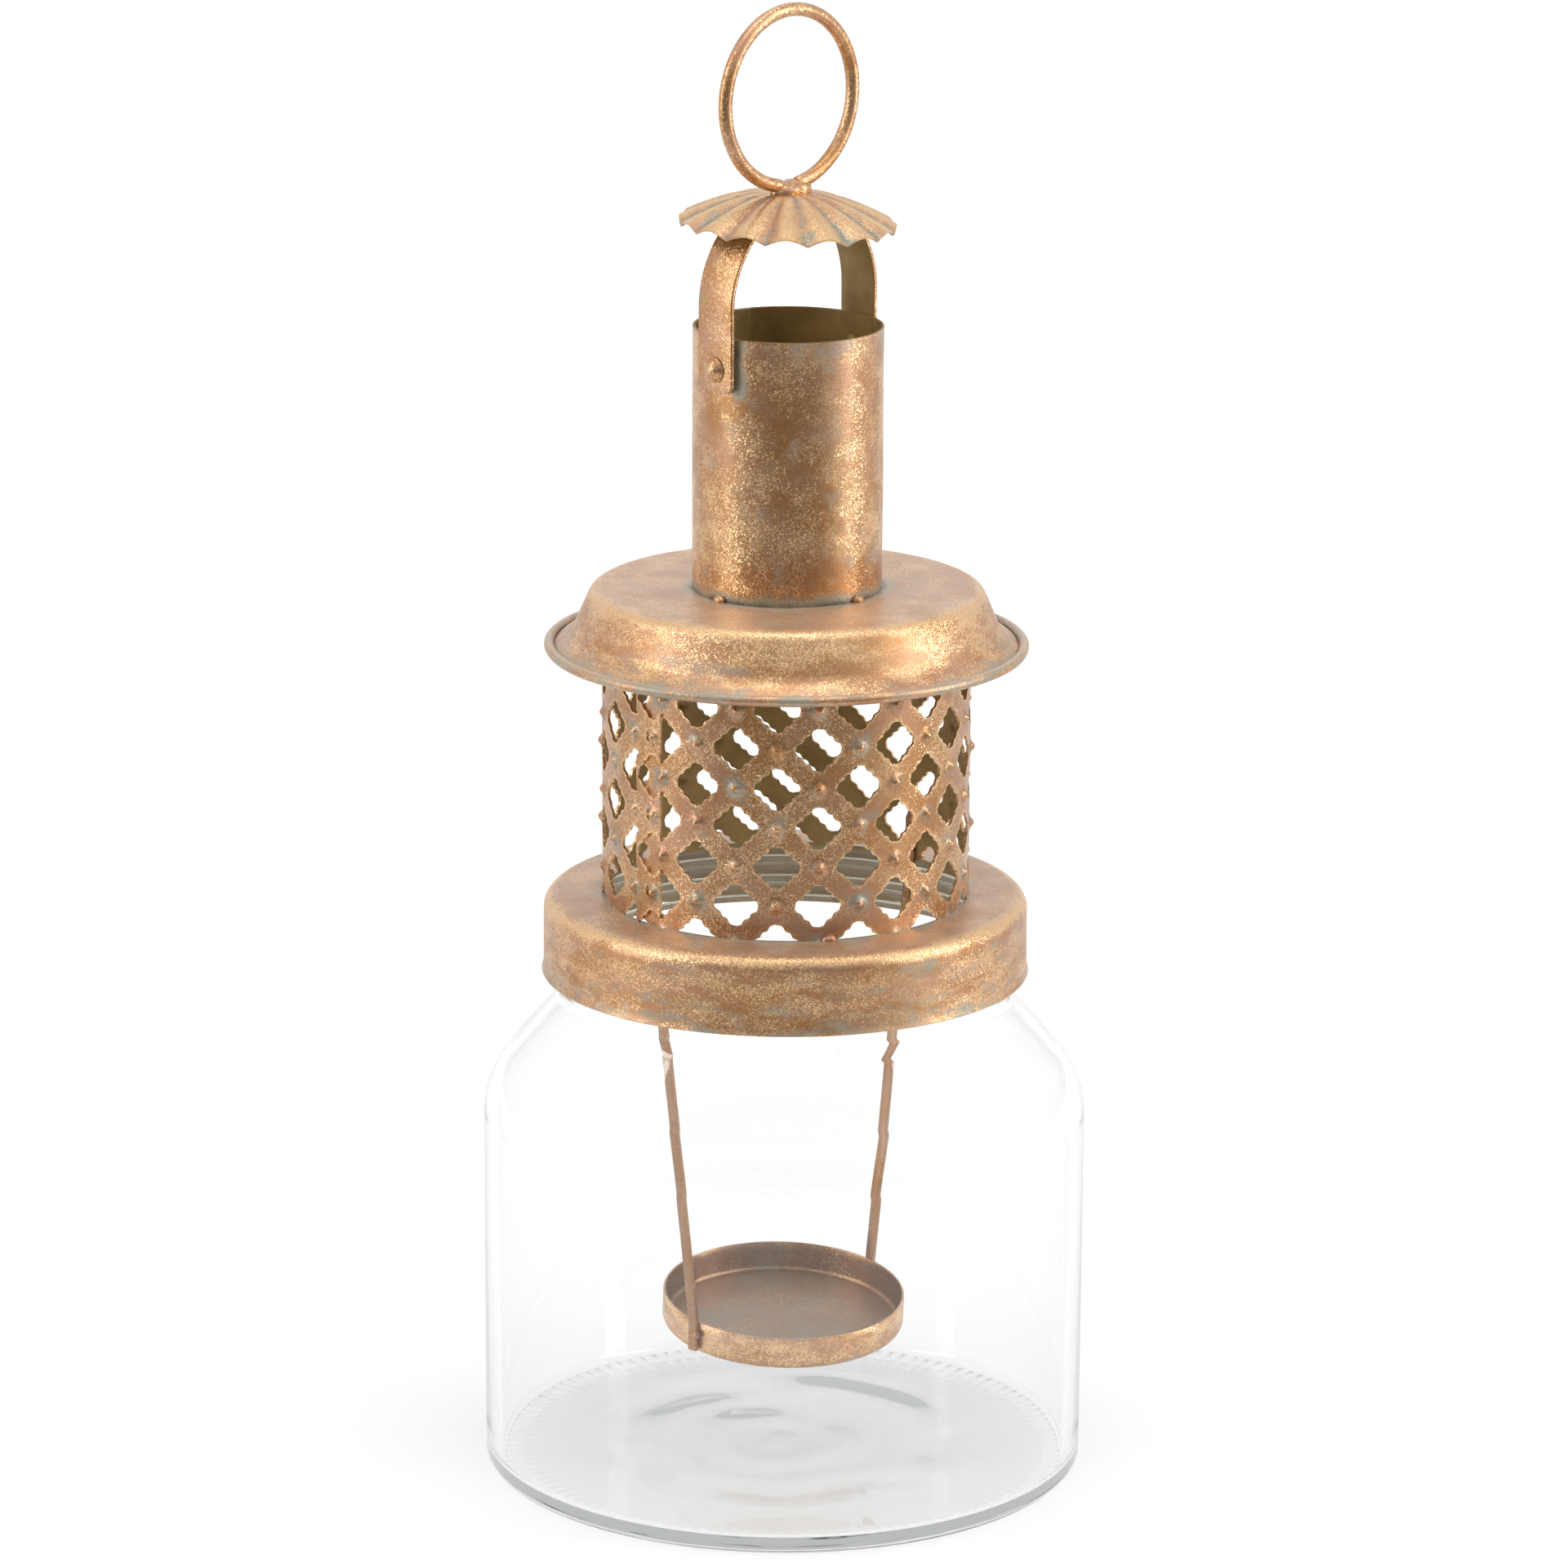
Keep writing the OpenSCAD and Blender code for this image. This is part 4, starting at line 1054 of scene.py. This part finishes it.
def swept(name, line, depth, finishes, edge, wobble):
    """Sweeps a rounded rectangle along a line of (x, z, half width) stations, as wide along Y."""
    line = np.array(line, float)
    ahead = np.gradient(line[:, :2], axis=0)
    ahead /= np.linalg.norm(ahead, axis=1)[:, None]
    corner = [(math.cos(a), math.sin(a)) for a in np.radians(np.linspace(0, 90, 4))]
    around = 4 * len(corner)
    points = []
    for (x, z, half), (along_x, along_z) in zip(line, ahead):
        round_y, round_n = min(edge, half * 0.6), min(edge, depth * 0.45)  # keeps some flat
        for side_y, side_n in ((1, 1), (-1, 1), (-1, -1), (1, -1)):
            for c, s in corner if side_y == side_n else corner[::-1]:
                y = side_y * (half - round_y + round_y * c)
                lift = (side_n * (depth / 2 - round_n + round_n * s)
                        + wobble * noise.noise(Vector((x, y, z)) / WOBBLE_SIZE))
                points.append((x + along_z * lift, y, z - along_x * lift))
    faces = tube_faces(len(line), around)
    slots = [int(k in INNER_SIDE) for k in range(around)] * (len(line) - 1) + [0, 0]
    return closed(new_mesh(name, points, faces, finishes, slots))


print("a strip has 16 points round its section")

# %% [markdown]
# ## Bail strap
# One strip of 8.5 by 0.9 mm is bent over a former to a half circle, with two straight legs that
# hang on the rivets. Its feet were cut with rounded corners. The path goes up one leg, over the
# arch and down the other.

# %% Bail strap
STRAP_W = strap_high[1] - strap_low[1]
STRAP_R, STRAP_T = strap_high[0], 0.9
ARCH_Z = strap_high[2] - STRAP_R
FOOT_ROUND = 1.5
middle = STRAP_R - STRAP_T / 2
feet = [(FOOT_ROUND * (1 - math.cos(a)), FOOT_ROUND * (math.sin(a) - 1))
        for a in np.radians(np.linspace(0, 90, 7))]
leg = ([(middle, strap_low[2] + rise, STRAP_W / 2 + less) for rise, less in feet]
       + [(middle, z, STRAP_W / 2) for z in np.linspace(strap_low[2] + 2.4, ARCH_Z - 0.6, 12)])
over = [(x, z, STRAP_W / 2) for x, z in arc(0, ARCH_Z, middle, 0, 180, 72)]
path = leg + over + [(-x, z, half) for x, z, half in reversed(leg)]
strap_mesh = swept("bail_strip", path, STRAP_T, [bail_gold, olive_lacquer], edge=0.28, wobble=0.12)
finish_mesh("bail_strip", strap_mesh, "bail", "bail_strap")

# %% [markdown]
# ## Rivets
# Each leg turns on one round-head rivet, whose shank runs through strap and chimney and is
# upset inside the chimney. The profile is turned about Z and then laid along X. A dark ring at the
# rim of each head is dirt and also a painted shadow where the head meets the strap.

# %% Rivets
low, high = span("bail_rivets")
HEAD_R, HEAD_H = (high[2] - low[2]) / 2, 1.5
HEAD_X, TAIL_X = high[0] - HEAD_H, 16.44  # where the head and the tail start
SHANK_R = 1.2
PIVOT_Z = (high[2] + low[2]) / 2
ball = (HEAD_R ** 2 + HEAD_H ** 2) / (2 * HEAD_H)
reach = math.degrees(math.asin(HEAD_R / ball))
dome = arc(0, HEAD_X + HEAD_H - ball, ball, 90, 96 - reach, 10)
dome[0] = (0, HEAD_X + HEAD_H)
outside = dome + [(HEAD_R - 0.02, HEAD_X + 0.22), (HEAD_R, HEAD_X + 0.1),
                  (HEAD_R - 0.1, HEAD_X), (SHANK_R, HEAD_X)]
TAIL = ((SHANK_R, 0), (1.9, 0), (1.8, 0.35), (1.3, 0.7), (0.6, 0.88), (0, 0.9))
inside = [(r, TAIL_X - deep) for r, deep in TAIL]
rivets = []
# The dark ring at each head's rim is dirt and also a painted shadow
for side in (0, math.pi):
    rivet = turned("rivet", outside, inside, [bail_gold, olive_lacquer], segments=40, dent=0.1,
                   dent_size=2.5, grime=lambda a, r, z: 1.5 * near(z - HEAD_X, 0.35))
    rivet.transform(Matrix.Translation((0, 0, PIVOT_Z * MM)) @ Matrix.Rotation(side, 4, "Z")
                    @ Matrix.Rotation(math.pi / 2, 4, "Y"))
    rivets.append(rivet)
finish_mesh("domed_rivets", joined("domed_rivets", rivets), "lid", "bail_rivets")

# %% [markdown]
# ## Fluted cap
# The small cap on the bail is a pressed disc with sixteen flutes, round on their crests and
# narrow between. One flute is modelled as a wedge from the middle to the rim, symmetrical about
# its crest, and Geometry Nodes turn the copies round the axis and weld them. The shape could be
# one height formula over a whole disc, but a single flute is easier to draw and check.

# %% One flute
low, high = span("fluted_cap")
CAP_EDGE_R, CROWN_Z = high[0], high[2]
CROWN_R = 4.75
FLUTES, FLUTE_H = 16, 1.15
DROP = 5.35
FLUTE_RINGS, FLUTE_ACROSS = 26, 14


def flute_height(r, off):
    """Height of the sheet's top at radius r, off times half a flute away from the crest."""
    s = max(0.0, r - CROWN_R) / (CAP_EDGE_R - CROWN_R)
    crest = (1 - 2 * abs(off) ** 1.7) / 2
    return CROWN_Z - DROP * s ** 1.5 + FLUTE_H * s ** 0.8 * crest


def flute_point(i, k):
    """A point of the flute, by its ring and its place across."""
    r, off = CAP_EDGE_R * i / FLUTE_RINGS, 2 * k / FLUTE_ACROSS - 1
    a = off * math.pi / FLUTES
    return r * math.cos(a), r * math.sin(a), flute_height(r, off)


row = FLUTE_ACROSS + 1
corners = [i * row + k for i in range(FLUTE_RINGS) for k in range(FLUTE_ACROSS)]
flute = linked("flute", new_mesh(
    "flute", [flute_point(i, k) for i in range(FLUTE_RINGS + 1) for k in range(row)],
    [(a, a + row, a + row + 1, a + 1) for a in corners]))
print("flute rim height", round(FLUTE_H, 2), "mm")

# %% [markdown]
# The cap's gold was rubbed onto the crests, and the grey-green wash ran into the valleys. The
# finish therefore needs to know where the crests are: the angle round the axis, times the number
# of flutes, gives a wave that is high on every crest. Noise makes the wear ragged, and leaves the
# wash out of some valleys.

# %% Crests and valleys of the fluted cap
CREST_GOLD, CREST_LIGHT = "#ddb07c", "#f4d6aa"
RAGGED_MM = 2.381  # size of the ragged places where leaf ends
DEEP_MM = 11.11    # size of the stretches of valley with more or less wash

flute_gold, tree = new_material("rubbed_gold_fluted_cap")
place = add(tree, "ShaderNodeTexCoord", out="Object")
xyz = add(tree, "ShaderNodeSeparateXYZ", (place,), out=None)
turn = add(tree, MATH, (xyz["Y"], xyz["X"]), operation="ARCTAN2")
wave = add(tree, MATH, (turn, float(FLUTES)), operation="MULTIPLY")
crest = add(tree, MATH, (wave,), operation="COSINE")
rough = add(tree, NOISE, {
    "Vector": place, "Scale": PER_METRE / RAGGED_MM, "Detail": 5, "Roughness": 0.7})
ragged = add(tree, MATH, (rough, 4.6, -2.3), operation="MULTIPLY_ADD")
level = add(tree, MATH, (crest, ragged), operation="ADD")
some = add(tree, NOISE, {"Vector": place, "Scale": PER_METRE / DEEP_MM, "Detail": 3})
deep = add(tree, MATH, (some, 4.0, -1.9), operation="MULTIPLY_ADD")
lower = add(tree, MATH, (level, deep), operation="ADD")
bare = add(tree, RANGE, (lower, -1.3, -0.5))
ground = add(tree, MIX, {0: bare, 6: linear(VERDIGRIS), 7: linear(COPPER_PINK)}, **COLOURS)
print("one wave of the finish in", 360 / FLUTES, "degrees")

# %% Leaf on the crests
flake = add(tree, "ShaderNodeTexVoronoi", {
    "Vector": place, "Scale": PER_METRE / FLAKE_MM}, out="Color")
chance = add(tree, "ShaderNodeSeparateColor", (flake,), out=None)
gold = add(tree, MIX, {
    0: chance[1], 6: linear(CREST_GOLD), 7: linear(CREST_LIGHT)}, **COLOURS)
enough = add(tree, MATH, (level, chance[0]), operation="SUBTRACT")
rubbed = add(tree, RANGE, (enough, -1.7, 0.3))
colour = add(tree, MIX, {0: rubbed, 6: ground, 7: gold}, **COLOURS)
dull = add(tree, RAMP, (rubbed,), stops=[(0.0, grey(0.45)), (1.0, grey(0.3))])
metal = add(tree, RAMP, (rubbed,), stops=[(0.0, grey(0.7)), (1.0, grey(0.95))])
shader = add(tree, "ShaderNodeBsdfPrincipled", {
    "Base Color": colour, "Metallic": metal, "Roughness": dull,
    "Normal": leaning(tree, flake, FLAKE_LEAN * 0.7)})
add(tree, "ShaderNodeOutputMaterial", {"Surface": shader}, out=None)
print("finish", flute_gold.name)

# %% Turn the flutes round the axis
flute_tree, given = new_tree("flutes_round_axis", {"Flute": "Object", "Flutes": FLUTES})
tree = flute_tree
spots = add(tree, "GeometryNodeMeshLine", {"Count": given["Flutes"], "Offset": (0, 0, 0)})
index = add(tree, "GeometryNodeInputIndex")
turns = add(tree, MATH, (index, 2 * math.pi), operation="MULTIPLY")
part_turn = add(tree, MATH, (turns, given["Flutes"]), operation="DIVIDE")
wedge = add(tree, "GeometryNodeObjectInfo", {"Object": given["Flute"]}, out="Geometry")
copies = add(tree, "GeometryNodeInstanceOnPoints", {
    "Points": spots, "Instance": wedge,
    "Rotation": add(tree, "ShaderNodeCombineXYZ", {"Z": part_turn})})
real = add(tree, "GeometryNodeRealizeInstances", (copies,))
welded = add(tree, "GeometryNodeMergeByDistance", {"Geometry": real, "Distance": 0.01 * MM})
coated = add(tree, "GeometryNodeSetMaterial", {"Geometry": welded, "Material": flute_gold})
add(tree, "NodeGroupOutput", (coated,), out=None)

disc = grown(flute_tree, "fluted_disc", {"Flute": flute, "Flutes": FLUTES})
disc.materials.append(olive_lacquer)
bpy.data.objects.remove(flute)
disc = thick(disc)
TILT = math.radians(2.2)  # the disc sits a little askew on the bail
tip = Matrix.Rotation(TILT, 4, Vector((0, 0, 1)).cross(right))
crown = Matrix.Translation((0, 0, CROWN_Z * MM))
disc.transform(crown @ tip @ crown.inverted())
finish_mesh("fluted_disc", disc, "bail", "fluted_cap")

# %% [markdown]
# ## Hanging ring and its braze
# The ring is a length of wire bent round, and its ends meet in the lump of braze that holds it on
# the cap. One end stays in sight beside the lump. The tube is swept round most of a circle and
# closed at both ends, and it is bent a little out of true, as hand work is.

# %% Hanging ring
low, high = span("hang_ring")
WIRE_R = (high[1] - low[1]) / 2
RING_R, RING_Z = high[0] - WIRE_R, (high[2] + low[2]) / 2
HELD_END, FREE_END = -84, 262
RING_STEPS, WIRE_SIDES = 200, 24
OUT_OF_ROUND, OUT_OF_PLANE = 0.12, 0.1
END_ROUND, END_STEPS = 0.14, 1.5  # share that the ends are rounded by, and over how many steps


def wire_point(i, k):
    """A point on the wire, by its station along the ring and its place round the wire."""
    a = math.radians(HELD_END + (FREE_END - HELD_END) * i / RING_STEPS)
    b = 2 * math.pi * k / WIRE_SIDES
    bend = RING_R + OUT_OF_ROUND * math.sin(2 * a + 0.6)
    end_round = 1 - END_ROUND * max(0.0, 1 - min(i, RING_STEPS - i) / END_STEPS)
    r = bend + WIRE_R * end_round * math.cos(b)
    return (r * math.cos(a), WIRE_R * end_round * math.sin(b) + OUT_OF_PLANE * math.sin(a),
            RING_Z + r * math.sin(a))


points = [wire_point(i, k) for i in range(RING_STEPS + 1) for k in range(WIRE_SIDES)]
faces = tube_faces(RING_STEPS + 1, WIRE_SIDES, clockwise=True)
ring_mesh = closed(new_mesh("wire_ring", points, faces, [bail_gold]))
finish_mesh("wire_ring", ring_mesh, "bail", "hang_ring")

# %% [markdown]
# ## Solder
# Tacks of solder hold the band on the cap, the chimney on the canopy and the hangers at both
# ends, and a larger lump of braze holds the ring. Each is a bead that ran into a corner, so no
# two are alike. One Geometry Nodes tree makes them all: a round bead on every given point, turned
# to face out from the axis and scaled at random, pressed against its wall and pushed in and out
# by noise.

# %% Beads on points
bead_tree, given = new_tree("solder_beads", {
    "Places": "Object", "Size": 1.4 * MM, "Lumps": 0.35 * MM, "Lump size": 1.6 * MM,
    "Flatness": 0.75, "Height": 1.0, "Finish": "Material", "Seed": 1})
tree = bead_tree
places = add(tree, "GeometryNodeObjectInfo", {"Object": given["Places"]}, out="Geometry")
here = add(tree, "GeometryNodeInputPosition")
where = add(tree, "ShaderNodeSeparateXYZ", (here,), out=None)
facing = add(tree, MATH, (where["Y"], where["X"]), operation="ARCTAN2")
pose = add(tree, "ShaderNodeCombineXYZ", {"Z": facing})
ball = add(tree, "GeometryNodeMeshIcoSphere", {"Radius": given["Size"], "Subdivisions": 4})
some = add(tree, "FunctionNodeRandomValue", {2: 0.85, 3: 1.12, "Seed": given["Seed"]}, out=1,
           data_type="FLOAT")
tall = add(tree, MATH, (some, given["Height"]), operation="MULTIPLY")
scale = add(tree, "ShaderNodeCombineXYZ", (given["Flatness"], some, tall))
beads = add(tree, "GeometryNodeInstanceOnPoints", {
    "Points": places, "Instance": ball, "Rotation": pose, "Scale": scale})
real = add(tree, "GeometryNodeRealizeInstances", (beads,))
per_lump = add(tree, MATH, (1.0, given["Lump size"]), operation="DIVIDE")
grain = add(tree, NOISE, {"Vector": here, "Scale": per_lump, "Detail": 2})
in_or_out = add(tree, MATH, (grain, 0.5), operation="SUBTRACT")
push = add(tree, MATH, (in_or_out, given["Lumps"]), operation="MULTIPLY")
outward = add(tree, "GeometryNodeInputNormal")
along = add(tree, VECTOR, {0: outward, "Scale": push}, operation="SCALE")
lumpy = add(tree, "GeometryNodeSetPosition", {"Geometry": real, "Offset": along})
coated = add(tree, "GeometryNodeSetMaterial", {"Geometry": lumpy, "Material": given["Finish"]})
add(tree, "NodeGroupOutput", (coated,), out=None)
print("nodes in the bead tree:", len(tree.nodes))

# %% [markdown]
# The tacks on the band and the chimney are small, and the gold of their wall was rubbed over
# them. The hangers' are left as painted solder. The braze is one long lump with the bail's gold.

# %% Tacks and braze
def round_axis(radius, z, angles):
    """Points at a radius and height, at angles in degrees."""
    return [(radius * math.cos(math.radians(a)), radius * math.sin(math.radians(a)), z)
            for a in angles]


def beads_on(name, body, node, points, finish, **values):
    """Beads of solder on the given points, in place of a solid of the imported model."""
    holder = linked(name + "_points", new_mesh(name + "_points", points, []))
    made = grown(bead_tree, name, {"Places": holder, "Finish": finish, **values})
    bpy.data.objects.remove(holder)
    finish_mesh(name, made, body, node)


OUT, UP = 0.35, 0.15  # a bead's middle lies this far out of its wall and over its floor
band_spots = round_axis(BAND_R + OUT, CAP_TOP + UP, [LAP_ANGLE + 60 + 120 * i for i in range(3)])
chimney_spots = round_axis(CHIMNEY_R + OUT, CANOPY_TOP + UP, [2 + 90 * i for i in range(4)])
BAND_END, PAN_END = (32.05, CAP_TOP + 1.0), (23.2, 28.5)
hanger_spots = [(side * x, side * 1.0, z) for x, z in (BAND_END, PAN_END) for side in (1, -1)]
beads_on("band_solder", "lid", "band_tacks", band_spots, lattice_gold,
         Size=1.2 * MM, Height=0.8, Seed=3)
beads_on("chimney_solder", "lid", "chimney_tacks", chimney_spots, tube_gold,
         Size=1.15 * MM, Flatness=0.8, Height=0.8, Seed=5)
beads_on("hanger_solder", "lid", "hanger_tacks", hanger_spots, solder,
         Size=0.95 * MM, Lumps=0.2 * MM, Seed=7)
beads_on("ring_solder", "bail", "ring_braze", [(0.5, 0, CROWN_Z + OUT)], bail_gold,
         Size=2.4 * MM, Lumps=1.0 * MM, Flatness=1.9, Height=0.75, Seed=4)

# %% [markdown]
# ## Hangers
# Two narrow strips hold the pan. Each is soldered inside the band, leans in through the neck and
# ends flat against the pan's wall. Its upper end is cut to a point. The same bend shape serves
# both sides, turned by half a turn.

# %% The hangers' line
hanger_top = span("hanger_right")[1]
PAN_R, PAN_FOOT, PAN_RIM = 22.3, 25.4, 31.6
PAN_TILT, PAN_LEAN = math.radians(-2.2), math.radians(4.6)
HANGER_T, HANGER_W = 0.85, 2.0
BEND_R, BEND_STEPS = 1.6, 6
TIP, TIP_LEFT = 2.0, 0.08     # length of the point, and the share of the width left at its end
SLANT_STATIONS = 24
top_x, top_z = hanger_top[0] - HANGER_T / 2, hanger_top[2]
foot_x = PAN_R + (PAN_RIM - PAN_FOOT) / 2 * math.sin(-PAN_TILT) + 0.05 + HANGER_T / 2


def bent_line(corners):
    """A line with its corners rounded, as (x, z) points."""
    line = [corners[0]]
    for before, here, after in zip(corners, corners[1:], corners[2:]):
        a, b, c = Vector(before), Vector(here), Vector(after)
        first, second = (b + (end - b).normalized() * BEND_R for end in (a, c))
        line += [tuple(first * (1 - t) ** 2 + b * 2 * t * (1 - t) + second * t * t)
                 for t in np.linspace(0, 1, BEND_STEPS)]
    return line


line = bent_line([(foot_x, PAN_FOOT), (foot_x, PAN_RIM), (top_x, CAP_TOP - SHEET),
                  (top_x, top_z)])
low_bend, high_bend = line[:1 + BEND_STEPS], line[1 + BEND_STEPS:]
slanted = [tuple(Vector(low_bend[-1]).lerp(Vector(high_bend[0]), t))
           for t in np.linspace(0.04, 0.96, SLANT_STATIONS)]
stations = ([(x, z, HANGER_W / 2) for x, z in low_bend + slanted + high_bend]
            + [(top_x, top_z - TIP * (1 - t), HANGER_W / 2 * (1 - (1 - TIP_LEFT) * t))
               for t in np.linspace(0, 1, 6)])
print("stations along a hanger:", len(stations))

# %% Left and right hanger
for side, turn_z in (("left", math.pi), ("right", 0)):
    strip = swept(f"{side}_hanger", stations, HANGER_T, [hanger_gold, hanger_gold],
                  edge=0.15, wobble=0.1)
    strip.transform(Matrix.Rotation(turn_z, 4, "Z"))
    finish_mesh(f"{side}_hanger_strip", strip, "lid", f"hanger_{side}")

# %% [markdown]
# ## Tealight pan
# A shallow cup, pressed from thin sheet, with a plain cut rim and a small radius at the floor. It
# was soldered on a little askew, so the finished cup is leant about its own middle.

# %% Tealight pan
PAN_CORNER = 1.5
PAN_SAG = ((0, 0.12), (9, 0.08), (17, 0.02))  # radius, and rise of the floor at that radius
corner_x, corner_z = PAN_R - PAN_CORNER, PAN_FOOT + PAN_CORNER
outside = ([(r, PAN_FOOT + rise) for r, rise in PAN_SAG]
           + arc(corner_x, corner_z, PAN_CORNER, -90, 0, 8)
           + [(PAN_R, PAN_RIM - 2), (PAN_R, PAN_RIM - 0.15), (PAN_R - 0.12, PAN_RIM)])
inside = ([(PAN_R - SHEET + 0.1, PAN_RIM), (PAN_R - SHEET, PAN_RIM - 0.15),
           (PAN_R - SHEET, PAN_RIM - 2)]
          + arc(corner_x, corner_z, PAN_CORNER - SHEET, 0, -90, 8)
          + [(r, PAN_FOOT + rise + SHEET) for r, rise in reversed(PAN_SAG)])
pan_mesh = turned("pressed_pan", outside, inside, [pan_gold, pan_lining], segments=160, dent=0.08)
pan_middle = Matrix.Translation((0, 0, (PAN_FOOT + PAN_RIM) / 2 * MM))
pan_mesh.transform(pan_middle @ Matrix.Rotation(PAN_TILT, 4, "Y")
                   @ Matrix.Rotation(PAN_LEAN, 4, "X") @ pan_middle.inverted())
finish_mesh("pressed_pan", pan_mesh, "lid", "tealight_pan")

# %% Finish
print("all pieces built")
